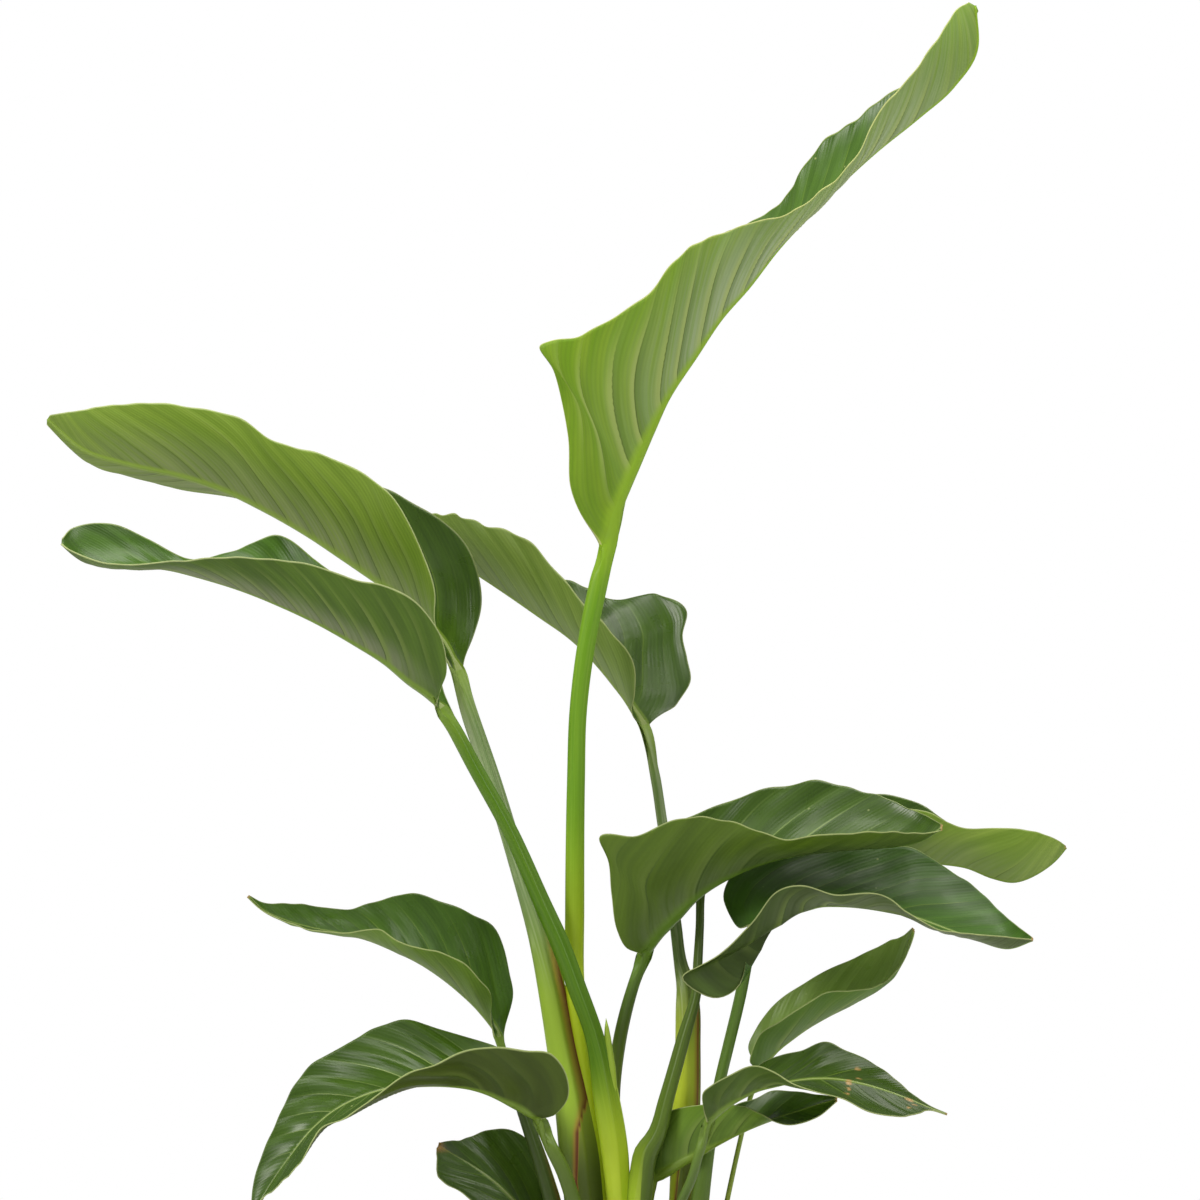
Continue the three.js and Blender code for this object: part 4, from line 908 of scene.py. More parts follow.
    def underside(self) -> Material:
        """Makes the underside, matt and even, which a pale bloom with a painted sheen veils beside
        the midrib; its pleats get a painted highlight on their ridges and painted shade in their
        creases and hollows.

        Returns:
            The material.
        """
        material, tree = new_material(self.name + " matt underside")
        veins = self.veins(tree)
        bands = self.streaks(tree, self.under_streaks)
        vein_and_shade, ridge_highlight, hollow_shade = self.pleat(tree)
        coats = (
            Coat(self.under_light, Fade(bands, *self.band_fade)),
            Coat(self.vein_and_shade, Fade(veins, 0.2, 1.0, 0.0, self.vein_share)),
            # the pale bloom beside the midrib, with a painted sheen in it
            Coat(
                self.bloom_and_sheen,
                Fade("rib_gap", 0.0, self.bloom_and_sheen_reach, self.bloom_and_sheen_share, 0.0),
                Fade(self.streaks(tree, self.bloom_and_sheen_grain), 0.3, 0.6, 0.45, 1.0),
                Fade("along", *self.bloom_and_sheen_span),
                Fade("along", 0.7, 1.0, 1.0, 0.2),
            ),
            # painted shade in the pleats' hollows and creases, painted highlight on their ridges
            Coat(self.vein_and_shade, Fade(hollow_shade, at_high=self.hollow_shade_share)),
            Coat(self.ridge_highlight, Fade(ridge_highlight, at_high=self.ridge_highlight_share)),
            Coat(self.vein_and_shade, Fade(vein_and_shade, at_high=self.crease_shade_share)),
            *self.edging(tree, self.rib_reach, self.under_seam_share),
        )
        colour = painted(tree, self.under, coats)
        finish_material(tree, colour, self.under_roughness, 1.4, Grain(veins, 0.35, 0.15 * MM))
        return material

    def stalk_skin(self) -> Material:
        """Makes the skin of stalk and midrib, smooth and fibrous, with yellow feet, dark edges and,
        low on some feet, painted shade.

        Returns:
            The material.
        """
        material, tree = new_material(self.name + " smooth stalk skin")
        fibres = self.streaks(tree, self.stalk_fibres)
        where = add_node(tree, "TexCoord").outputs["Object"]
        height = add_node(tree, "SeparateXYZ", {0: where}).outputs[2]
        coats = (
            Coat(self.stalk_light, Fade(fibres, 0.35, 0.75, 0.0, 0.6)),
            Coat(self.stalk_foot, Fade(height, *self.foot_span, 1.0, 0.0)),
            Coat(self.sheath_inside, "sheath_inside"),
            # painted shade low on the foot
            Coat(self.foot_shade, Fade(height, *self.shade_span, 0.85, 0.0)),
            Coat(self.rib, Fade("on_rib", at_high=0.85)),
            Coat(self.sheath_flush, Fade("sheath_edge", 0, 0.5, 0, 0.7 * self.sheath_edge_share)),
            Coat(self.sheath_edge, Fade("sheath_edge", 0.4, 1.0, 0.0, self.sheath_edge_share)),
        )
        colour = painted(tree, self.stalk, coats)
        finish_material(tree, colour, self.stalk_roughness, 1.45, Grain(fibres, 0.25, 0.2 * MM))
        return material

    def materials(self) -> list[Material]:
        """Returns the upper side, the underside and the stalk, in the order of Skin."""
        return [self.upper_side(), self.underside(), self.stalk_skin()]


@dataclass(frozen=True)
class SoilFinish:
    """Peaty potting soil: dark crumbs with paler fibres, quite without gloss."""

    dark: str = "1d140e"
    light: str = "4a3524"
    crumb_size: float = 5 * MM

    def material(self) -> Material:
        """Makes the soil.

        Returns:
            The material.
        """
        material, tree = new_material("peaty potting soil")
        where = add_node(tree, "TexCoord").outputs["Object"]
        grains = {"Vector": where, "Scale": 1 / self.crumb_size, "Detail": 5.0}
        crumbs = add_node(tree, "TexNoise", grains).outputs[0]
        colour = painted(tree, self.dark, [Coat(self.light, Fade(crumbs, 0.35, 0.75))])
        finish_material(tree, colour, 0.95, 1.5, Grain(crumbs, 0.9, 1.5 * MM))
        return material


@dataclass(frozen=True)
class PotFinish:
    """Moulded polypropylene, charcoal: matt, finely grained, a little scuffed and dusty."""

    colour: str = "26282a"
    dust: str = "4b4a46"
    grain_size: float = 0.9 * MM  # the mould's real grain is about 0.2 mm, too fine to show
    cloud_size: float = 60 * MM  # of dust and scuffs

    def material(self) -> Material:
        """Makes the plastic.

        Returns:
            The material.
        """
        material, tree = new_material("moulded matt polypropylene")
        where = add_node(tree, "TexCoord").outputs["Object"]
        grains = {"Vector": where, "Scale": 1 / self.grain_size, "Detail": 2.0}
        grain = add_node(tree, "TexNoise", grains).outputs[0]
        clouded = {"Vector": where, "Scale": 1 / self.cloud_size, "Detail": 4.0}
        clouds = add_node(tree, "TexNoise", clouded).outputs[0]
        colour = painted(tree, self.colour, [Coat(self.dust, Fade(clouds, 0.45, 0.8, 0.0, 0.35))])
        rough = faded(tree, Fade(clouds, 0.3, 0.7, 0.5, 0.66))
        finish_material(tree, colour, rough, 1.49, Grain(grain, 0.25, 0.1 * MM))
        return material


MATURE = LeafFinish("mature leaf")
FINISHES: dict[str, LeafFinish] = {
    "leaf_tall": LeafFinish(
        "young leaf", upper="3f6219", upper_light="587f28", under="709a14", under_light="90b02a",
        vein_and_shade="4f691f", ridge_highlight="b2c470", bloom_and_sheen="b0c09c", least_crease=0.8, ridge_highlight_share=0.7,
        hollow_shade_share=0.42, rib_reach=7 * MM, bloom_and_sheen_share=0.9, bloom_and_sheen_reach=95 * MM, rib="98c02a",
        margin="d3d88c", stalk="6ea01a", stalk_light="8cb636", stalk_foot="c6de2a",
        foot_span=(0.4, 0.6), bloom_and_sheen_span=(0.1, 0.5), vein_share=0.14, pleat_spacing=27 * MM,
        vein_lean=0.5,
    ),
    # its pale stalk_light is partly a painted highlight along the stalk
    "leaf_upper_left": LeafFinish(
        "upper left leaf", under="6c8c22", under_light="8ca83a", bloom_and_sheen="9c9c88", bloom_and_sheen_share=0.45,
        bloom_and_sheen_reach=42 * MM, rib="8fae3a", rib_reach=6 * MM, margin="c6d294", margin_width=1.3 * MM,
        least_crease=0.6, stalk="7a9658", stalk_light="c0cea4", stalk_foot="a4c63e",
        foot_span=(0.42, 0.52), shade_span=(0.3, 0.37), sheath_edge="6e3020", sheath_edge_share=0.9,
        pleat_spacing=24 * MM, vein_lean=1.3,
    ),
    "leaf_long_left": LeafFinish(
        "long left leaf", upper="365810", upper_light="507a1c", under="425f12",
        under_light="618320", bloom_and_sheen="9c9c88", bloom_and_sheen_share=0.55, bloom_and_sheen_reach=30 * MM,
        bloom_and_sheen_span=(0.0, 0.25), margin="c6d294", margin_width=1.3 * MM, least_crease=0.6,
        stalk="4f7a0a", stalk_light="6a9022", sheath_inside="b4d048", sheath_edge_share=0.0,
        stalk_foot="cce638", foot_span=(0.29, 0.4), vein_lean=1.2,
    ),
    "leaf_back": LeafFinish(
        "back leaf", under="64802a", under_light="849c44", rib="84a034", stalk="64803e",
        stalk_light="acba8c", stalk_foot="d2e43c", sheath_inside="7a8c34", foot_span=(0.36, 0.47),
        sheath_edge_share=0.8, vein_lean=1.3,
    ),
    "leaf_middle_right": LeafFinish(
        "middle leaf", upper_line="93ac60", upper_line_share=0.65, under="4a6412",
        under_light="68861e", bloom_and_sheen_share=0.3, vein_share=0.08, ridge_highlight_share=0.3, rib="6f942c",
        rib_reach=7 * MM, stalk="466120", stalk_light="5a7832", pleat_spacing=38 * MM,
    ),
    "leaf_far_right": LeafFinish(
        "far leaf", under="6c8c28", under_light="98b24c", least_crease=0.05, ridge_highlight_share=0.2,
        vein_share=0.05, under_roughness=0.42, stalk="4c6420", stalk_light="688030",
        stalk_foot="668226", sheath_inside="b0cc3c", sheath_edge_share=0.0,
    ),
    "leaf_lower_right": LeafFinish(
        "folded leaf", upper="30520a", upper_light="467214", upper_roughness=0.42, under="32450d",
        under_light="49631a", stalk_foot="64802c", bloom_and_sheen_span=(0.12, 0.45), bloom_and_sheen_share=0.6,
        bloom_and_sheen_reach=60 * MM, vein_share=0.08,
    ),
    "leaf_left": LeafFinish(
        "left leaf", upper="365612", upper_light="4e741c", under="5e8020", under_light="7ea034",
        bloom_and_sheen_share=0.12, stalk="3f5420", stalk_light="566e30", stalk_foot="4c6226",
    ),
    # its upper side is painted much lighter than other leaves', as painted light on a leaf that
    # stands in shade
    "leaf_small_right": LeafFinish(
        "small leaf", upper="7c9c40", upper_light="9cbc60", under="4a7014", under_light="668c24",
        bloom_and_sheen_share=0.12, vein_share=0.08, margin="b4c67e",
    ),
    "leaf_small_front": LeafFinish(
        "front leaf", upper="2b420c", upper_light="3e5a12", under="3c5410", under_light="5c7c1e",
        bloom_and_sheen_share=0.08, vein_share=0.08, stalk="4e6a28", stalk_light="6c8844",
        stalk_foot="627e30",
    ),
    # its underside is painted lighter, as painted light on a leaf that stands in shade
    "leaf_low_right": LeafFinish(
        "low leaf", under="54761a", under_light="82a632", bloom_and_sheen_share=0.08, vein_share=0.08
    ),
    "leaf_lowest": LeafFinish("lowest leaf", upper="3c5a16", upper_light="547422"),
    # its dark underside is painted shade, where the blade faces down in the shade of the leaves
    # above
    "leaf_lower_left": LeafFinish(
        "arching leaf", under="364606", under_light="50660e", upper_seam_share=0.12,
        upper_line="a8bc74", upper_line_share=0.75, bloom_and_sheen_share=0.0, ridge_highlight_share=0.2,
        vein_share=0.06, stalk="4f6818", stalk_light="6c842e", stalk_foot="5e7826", margin="bccb86",
        margin_width=1.5 * MM,
    ),
}


# ---- Leaf ----

RING_START, RING_STEP = 10.0, 20.0  # angle of a ring's first point, and between two, in degrees
SEAM_DROPS = (0.0, 22.0, 75.0)  # mm below a sheath's joint
SEAM_ANGLES = (115.0, 45.0, 20.0)  # where the seam then stands round the stalk, in degrees
SEAM_MIRROR = 125.0  # angle on the upper side at which a sheath's two margins mirror, in degrees
JOINT_SOFTNESS = 11.0  # width of the dark seam well below the joint, in degrees
SPOT_BLADE = (180.0, 35.0)  # length and half width of the blade that spots are placed on, in mm
CREASES = 80  # more than any half blade has
CREASE_START = -300.0  # place of the first crease, well below the blade, in mm
WAVE_PITCHES = (13.0, 5.1, 11.0, 4.3)  # of the margin's waves, in mm for each radian
FLOAT_LAYERS = (
    "rib_gap",
    "edge_gap",
    "across",
    "vein",
    "pleat",
    "share",
    "dry",
    "on_rib",
    "along",
)
SHEATH_LAYERS = ("sheath_edge", "sheath_inside")  # these differ between a ring's two sides


class Skin(IntEnum):
    """A leaf's materials, as their slots count them."""

    UPPER = 0
    UNDER = 1
    STALK = 2


@dataclass(frozen=True)
class LeafForm:
    """What all leaves share, in millimetres: the shares that the solids have, and finer steps."""

    foot_height: float = 150.0
    thickness: float = 0.8
    stalk_depth_share: float = 0.88
    channel_share: float = 0.22
    rib_taper: float = 2.2
    rib_tip_half_width: float = 0.45
    rib_tip_depth: float = 1.0
    rib_top_share: float = 0.2
    rib_edge_share: float = 0.45
    rib_flank_share: float = 0.3
    fillet_share: float = 0.9  # how far the plate swells to the midrib, in half widths of it
    wing_bulge: float = 0.1
    wing_shares: tuple[float, ...] = (0, 0.34, 0.68, 1)  # of the points on the solid's half blade
    ripple_height: float = 1.4
    ripple_turn: float = 2.2
    far_ripple_lag: float = 1.0
    wing_steps: int = 22
    rib_shares: tuple[float, ...] = (0.6, 0, -0.6)
    blade_step: float = 2.1
    stalk_step: float = 6.0
    arc_share: float = 0.35  # way round the stalk between two of the solid's points, in half widths
    sheath_fade: float = 60.0  # height over which a sheath ends
    rib_skin: Span = (-70.0, 30.0)  # from the blade's foot: where stalk skin turns to midrib's
    lean_shares: Span = (0.45, 0.9)  # of the finish's vein lean: at the foot, and more at the tip
    pleat_gaps: Span = (0.75, 1.25)  # least and most, in shares of the finish's spacing
    pleat_heights: Span = (0.4, 1.2)  # least and most, in shares of the plan's height
    pleat_reach: float = 8.0  # from the midrib: where the relief is full
    pleat_ends: Span = (0.06, 0.8)  # shares of the blade between which the relief is full


@dataclass(frozen=True)
class Columns:
    """Where each point across a leaf's ring stands, from the near margin to the far one."""

    share: np.ndarray  # 1 at a margin, 0 at the midrib's edge
    rib: np.ndarray  # 1 at the near edge of the midrib, -1 at the far one, clamped on the blade
    half: np.ndarray  # 1 near, 0 midrib, -1 far
    place: np.ndarray  # 0 to 8 round the upper side, as the solid's ring counts

    @classmethod
    def of(cls, form: LeafForm) -> "Columns":
        """Lays the columns out, somewhat closer together at the margins and at the midrib.

        Args:
            form: The shared form.

        Returns:
            The columns.
        """
        wing = (1 + np.cos(np.linspace(0, math.pi, form.wing_steps))) / 2
        wing = 0.35 * wing + 0.65 * np.linspace(1, 0, form.wing_steps)
        inner = np.array(form.rib_shares, dtype=float)
        share = np.concatenate([wing, inner * 0, wing[::-1]])
        rib = np.concatenate([wing * 0 + 1, inner, wing * 0 - 1])
        half = np.concatenate([wing * 0 + 1, inner * 0, wing * 0 - 1])
        near = np.interp(wing, form.wing_shares, [3, 2, 1, 0])
        place = np.concatenate([near, 4 - inner, (8 - near)[::-1]])
        return cls(share, rib, half, place)

    def angle(self) -> np.ndarray:
        """Gives each column's angle round the stalk, in degrees from its near side."""
        return RING_START + RING_STEP * self.place


@dataclass
class Leaf:
    """One leaf as a closed, finely stepped loft over its own stations.

    The stalk is an oval with a shallow channel, the blade a thin plate on a midrib that stands out
    below; pleats run from the midrib to the margins.
    """

    plan: LeafPlan
    finish: LeafFinish
    seed: int
    form: LeafForm = field(default_factory=LeafForm)

    def stations(self) -> dict[str, np.ndarray]:
        """Works out the upper and lower ring at each of the plan's stations.

        Returns:
            Arrays top and bottom (station, column, xyz), line (station, xyz), half_width and depth
            (station), reach (station, column), and first, the number of stations on the stalk.
        """
        form, side_sign = self.form, self.plan.leans.value
        columns = Columns.of(form)
        stalk = np.array(self.plan.stalk, dtype=float)
        foot = stalk[:1].copy()
        foot[0, 2] = form.foot_height
        stalk = np.vstack([foot, stalk[:-1]])
        blade = np.array(self.plan.blade, dtype=float).reshape(-1, 3, 3)
        first, count = len(stalk), len(stalk) + len(blade)
        line = np.vstack([stalk[:, :3], blade[:, 0]])
        along = np.arange(count)
        tangent = unit(line[np.minimum(along + 1, count - 1)] - line[np.maximum(along - 1, 0)])

        side = np.zeros((count, 3))
        across = blade[:, 1] - blade[:, 2]
        for i in range(count - 1, -1, -1):
            guess = across[i - first] if i >= first else side[i + 1]
            side[i] = unit(guess - tangent[i] * guess.dot(tangent[i]))
        up = np.cross(tangent, side) * side_sign

        steps = np.linalg.norm(np.diff(blade[:, 0], axis=0), axis=1)
        lengths = np.concatenate([[0], np.cumsum(steps)])
        share = lengths / lengths[-1]
        narrowing = self.plan.stalk[-1][3] * np.exp(-form.rib_taper * share)
        half_width = np.concatenate([stalk[:, 3], np.maximum(form.rib_tip_half_width, narrowing)])
        rib_depth = np.maximum(form.rib_tip_depth, narrowing * form.stalk_depth_share)
        depth = np.concatenate([stalk[:, 3] * form.stalk_depth_share, rib_depth])

        top = np.zeros((count, len(columns.share), 3))
        bottom = np.zeros_like(top)
        reach = np.zeros((count, len(columns.share)))
        angle = np.radians(columns.angle())
        channel = np.maximum(0, 1 - ((columns.place - 4) / 2) ** 2) ** 2 * form.channel_share
        for i in range(count):
            centre, a, b = line[i], half_width[i], depth[i]
            if i < first:
                out = centre + np.outer(np.cos(angle) * a, side[i])
                top[i] = out + np.outer(b * (np.sin(angle) - channel), up[i])
                bottom[i] = out - np.outer(b * np.sin(angle), up[i])
                continue
            station = i - first
            crown = centre + up[i] * b * form.rib_edge_share
            swell = form.ripple_height * math.sin(math.pi * share[station])
            rise = form.rib_top_share + (form.rib_edge_share - form.rib_top_share) * columns.rib**2
            top[i] = centre + np.outer(columns.rib * a, side[i]) + np.outer(rise * b, up[i])
            for half, which, lag in ((1, 1, 0.0), (-1, 2, form.far_ripple_lag)):
                pick = columns.half == half
                v = columns.share[pick][:, None]
                edge = crown + side[i] * a * half
                span = blade[station, which] - edge
                width = np.linalg.norm(span)
                lift = np.cross(tangent[i], unit(span)) * side_sign * half
                ripple = swell * math.sin(form.ripple_turn * station + lag)
                sag = form.wing_bulge * width * 4 * v * (1 - v)
                top[i, pick] = edge + span * v + lift * (ripple * v**2 - sag)
                reach[i, pick] = width
            bottom[i] = top[i] - up[i] * self.plate(columns, reach[i], a, b)[:, None]
        return {
            "top": top,
            "bottom": bottom,
            "line": line,
            "half_width": half_width,
            "depth": depth,
            "reach": reach,
            "first": np.array(first),
        }

    def plate(
        self,
        columns: Columns,
        reach: np.ndarray,
        half_width: float | np.ndarray,
        depth: float | np.ndarray,
    ) -> np.ndarray:
        """Gives the thickness below the upper side: the plate, swelling to the midrib's keel.

        Args:
            columns: The columns.
            reach: Width of the half blade at each column.
            half_width: The midrib's half width.
            depth: The midrib's depth.

        Returns:
            Thickness at each column, in millimetres.
        """
        form = self.form
        gap = columns.share * reach
        flank = (form.rib_edge_share + form.rib_flank_share) * depth
        fillet = np.exp(-((gap / (form.fillet_share * half_width)) ** 2))
        wing = form.thickness + (flank - form.thickness) * fillet
        rounding = np.sqrt(np.maximum(0, 1 - columns.rib**2))
        keel = depth * (0.5 + 0.25 * columns.rib**2 + 0.5 * rounding)
        return np.where(columns.half == 0, keel, wing)

    def surface(self) -> dict[str, np.ndarray]:
        """Refines the stations into rows, gives the plate its thickness and adds the pleats.

        Returns:
            Arrays over row and column: top and bottom (xyz, in metres), each of FLOAT_LAYERS, each
            of SHEATH_LAYERS with _top and with _bottom, and blade, true where the row has one.
        """
        data = self.stations()
        columns = Columns.of(self.form)
        top, first = data["top"], int(data["first"])
        steps = np.linalg.norm(np.diff(top, axis=0), axis=2).mean(axis=1)
        knots = np.concatenate([[0], np.cumsum(steps)])
        start, end = knots[first], knots[-1]
        low = np.linspace(0, start, max(4, round(start / self.form.stalk_step)), endpoint=False)
        high = np.linspace(start, end, round((end - start) / self.form.blade_step) + 1)
        rows = np.concatenate([low, high])

        fine_top, fine_bottom, line, half_width, depth, reach = (
            spline(knots, data[name], rows)
            for name in ("top", "bottom", "line", "half_width", "depth", "reach")
        )
        half_width, depth, reach = half_width[:, None], depth[:, None], np.maximum(0, reach)
        normal = unit(np.cross(np.gradient(fine_top, axis=0), np.gradient(fine_top, axis=1)))
        normal *= -self.plan.leans.value

        along = np.concatenate([[0], np.cumsum(np.linalg.norm(np.diff(line, axis=0), axis=1))])
        along -= np.interp(start, rows, along)
        on_blade = smooth_share(rows, start, knots[first + 2])[:, None]
        share = (rows - start) / (end - start)
        least, more = self.form.lean_shares
        slant = self.finish.vein_lean * (least + more * np.clip(share, 0, 1))[:, None]
        slant = slant + self.finish.vein_bend * columns.share
        vein = along[:, None] - slant * columns.share * reach
        lift, pleat, outward = self.relief(columns, vein, reach, share)
        away = unit(np.gradient(fine_top, axis=1)) * -columns.half[None, :, None]
        fine_top = fine_top + normal * (lift * on_blade)[..., None]
        fine_top = fine_top + away * (outward * on_blade)[..., None]
        below = fine_top - normal * self.plate(columns, reach, half_width, depth)[..., None]
        fine_bottom = fine_bottom + (below - fine_bottom) * on_blade[..., None]
        gap = columns.share * reach * columns.half
        arc = (columns.place - 4) * half_width * self.form.arc_share * (1 - on_blade)
        every = np.ones_like(vein)
        return {
            "top": fine_top * MM,
            "bottom": fine_bottom * MM,
            "rib_gap": np.abs(gap) * MM,
            "edge_gap": (1 - columns.share) * reach * MM,
            "across": (gap + arc) * MM,
            "vein": vein * MM,
            "pleat": pleat,
            "share": columns.share * every,
            "dry": self.dryness(share[:, None], columns),
            "on_rib": smooth_share(along, *self.form.rib_skin)[:, None] * every,
            "along": np.clip(share, 0, 1)[:, None] * every,
            "blade": np.repeat((rows >= start)[:, None], len(columns.share), axis=1),
            **self.sheath(columns, line[:, 2:]),
        }

    def sheath(self, columns: Columns, height: np.ndarray) -> dict[str, np.ndarray]:
        """Gives how near each point of the stalk is to its sheath's seam, and what lies inside.

        Args:
            columns: The columns.
            height: Height of each row, in millimetres.

        Returns:
            Values between 0 and 1 for each of SHEATH_LAYERS with _top and with _bottom.
        """
        plan = self.plan
        fade_start = plan.sheath_top - self.form.sheath_fade
        clasping = 1 - smooth_share(height, fade_start, plan.sheath_top)
        drop = plan.sheath_joint - height
        seam = np.interp(drop, SEAM_DROPS, SEAM_ANGLES)
        soft = np.interp(drop, SEAM_DROPS[:2], (plan.seam_softness, JOINT_SOFTNESS))
        angle = columns.angle()
        found = {}
        for side, turn in (("top", np.minimum(angle, 2 * SEAM_MIRROR - angle)), ("bottom", -angle)):
            edge = np.exp(-(((seam - turn) / soft) ** 2)) * (turn < seam + 2)
            found["sheath_edge_" + side] = edge * clasping
            found["sheath_inside_" + side] = smooth_share(turn - seam, 1, 5) * clasping
        return found

    def dryness(self, share: np.ndarray, columns: Columns) -> np.ndarray:
        """Gives how dry and brown the blade is at each row and column.

        Args:
            share: Share of the blade's length at each row.
            columns: The columns.

        Returns:
            Values between 0 and 1.
        """
        length, half_width = SPOT_BLADE
        brown = smooth_share(share, 1 - self.plan.dry_tip, 1.0001) + 0 * columns.share
        for at, across, radius in self.plan.spots:
            sideways = (columns.share * columns.half - across) * half_width
            gap = np.hypot((share - at) * length, sideways)
            brown = np.maximum(brown, 1 - smooth_share(gap, radius * 0.5, radius))
        return brown

    def relief(
        self, columns: Columns, vein: np.ndarray, reach: np.ndarray, share: np.ndarray
    ) -> np.ndarray:
        """Shapes the pleats between the stronger side veins, and the waves of the margins.

        Args:
            columns: The columns.
            vein: Where the side vein of each row and column starts on the midrib, in millimetres.
            reach: Width of the half blade at each row and column.
            share: Share of the blade's length at each row.

        Returns:
            Height, count of pleats from the foot and shift outwards, at each row and column.
        """
        form, rng = self.form, np.random.default_rng(self.seed)
        v = columns.share[None, :]
        found = np.zeros((3, *vein.shape))
        arch = 0.35 + 0.65 * np.sin(math.pi * v**0.7)
        margin = v**3 * self.plan.crinkle
        for half in (1, -1):
            gaps = rng.uniform(*form.pleat_gaps, CREASES) * self.finish.pleat_spacing / MM
            creases = np.cumsum(gaps) + CREASE_START
            heights = rng.uniform(*form.pleat_heights, CREASES) * self.plan.pleat_height
            at = np.clip(np.searchsorted(creases, vein, side="right") - 1, 0, CREASES - 2)
            t = np.clip((vein - creases[at]) / (creases[at + 1] - creases[at]), 0, 1)
            pleats = np.sin(math.pi * t) ** 0.85 * heights[at] * arch
            turns = rng.uniform(0, 2 * math.pi, len(WAVE_PITCHES))
            waves = [np.sin(vein / pitch + turn) for pitch, turn in zip(WAVE_PITCHES, turns)]
            up = (waves[0] + 0.5 * waves[1]) * margin
            outward = (waves[2] + 0.6 * waves[3]) * margin
            pick = (columns.half == half)[None, :]
            found += np.where(pick, np.stack([pleats + up, at + t, outward]), 0)
        set_in, fade_out = form.pleat_ends
        taper = smooth_share(share, 0.0, set_in) * (1 - smooth_share(share, fade_out, 1.0))
        found[[0, 2]] *= taper[:, None] * np.clip(reach * v / form.pleat_reach, 0, 1)
        return found

    def build(self) -> Piece:
        """Builds the leaf's closed mesh and dresses it.

        Returns:
            The leaf.
        """
        data = self.surface()
        rows, count = data["top"].shape[:2]
        bm = bmesh.new()
        bmesh.ops.create_grid(bm, x_segments=rows - 1, y_segments=count - 1, size=1.0)
        whole = bmesh.ops.extrude_face_region(bm, geom=bm.faces[:], use_keep_orig=True)
        raised = [v for v in whole["geom"] if isinstance(v, bmesh.types.BMVert)]
        bmesh.ops.translate(bm, vec=(0, 0, 1), verts=raised)
        layers = {name: bm.verts.layers.float.new(name) for name in FLOAT_LAYERS}
        sheath = {name: bm.verts.layers.float.new(name) for name in SHEATH_LAYERS}
        uv = bm.loops.layers.uv.new("veins")
        pleats = bm.loops.layers.uv.new("pleats")
        spot = {}
        for vert in bm.verts:
            row = round((vert.co.x + 1) / 2 * (rows - 1))
            column = round((vert.co.y + 1) / 2 * (count - 1))
            upper = vert.co.z > 0.5
            side = "top" if upper else "bottom"
            spot[vert] = (row, column, upper)
            vert.co = Vector(data[side][row, column])
            for name, layer in layers.items():
                vert[layer] = float(data[name][row, column])
            for name, layer in sheath.items():
                vert[layer] = float(data[f"{name}_{side}"][row, column])
        for face in bm.faces:
            places = [spot[vert] for vert in face.verts]
            face.material_index = self.skin_of(places, data["blade"][:, 0], count)
            for loop in face.loops:
                loop[uv].uv = (loop.vert[layers["vein"]], loop.vert[layers["across"]])
                loop[pleats].uv = (loop.vert[layers["pleat"]], loop.vert[layers["share"]])
        face_outwards(bm)
        if self.plan.spur:
            self.add_spur(bm)
        leaf = plant_piece(bm, self.plan.name + "_grown", self.finish.materials())
        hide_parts(self.plan.name)
        return leaf

    def skin_of(
        self, places: list[tuple[int, int, bool]], on_blade: np.ndarray, count: int
    ) -> Skin:
        """Chooses a face's material.

        Args:
            places: Row, column and side of each of the face's corners.
            on_blade: Whether each row crosses the blade.
            count: Number of columns.

        Returns:
            The material's slot.
        """
        wing = self.form.wing_steps
        columns = [column for _, column, _ in places]
        if not on_blade[min(row for row, _, _ in places)]:
            return Skin.STALK
        if all(upper for _, _, upper in places):
            return Skin.UPPER
        on_rib = min(columns) >= wing - 1 and max(columns) <= count - wing
        return Skin.STALK if on_rib else Skin.UNDER

    def add_spur(self, bm: Mesh) -> None:
        """Adds the sheath's dry tip, a bent cone whose foot stands inside the stalk.

        Args:
            bm: The leaf's mesh.
        """
        points = np.array(self.plan.spur, dtype=float) * MM
        heights = np.linspace(points[0, 2], points[-1, 2], 12)
        radii = np.interp(heights, points[:, 2], points[:, 3])
        radii[[0, -1]] = 0
        grown = spun(bm, zip(radii, heights), 16)
        inside = bm.verts.layers.float["sheath_inside"]
        for vert in grown:
            x, y = (np.interp(vert.co.z, points[:, 2], points[:, k]) for k in (0, 1))
            vert.co += Vector((x, y, 0))
            vert[inside] = 0.7
        faces = list({face for vert in grown for face in vert.link_faces})
        bmesh.ops.recalc_face_normals(bm, faces=faces)
        for face in faces:
            face.material_index = Skin.STALK


# ---- Soil and pot ----


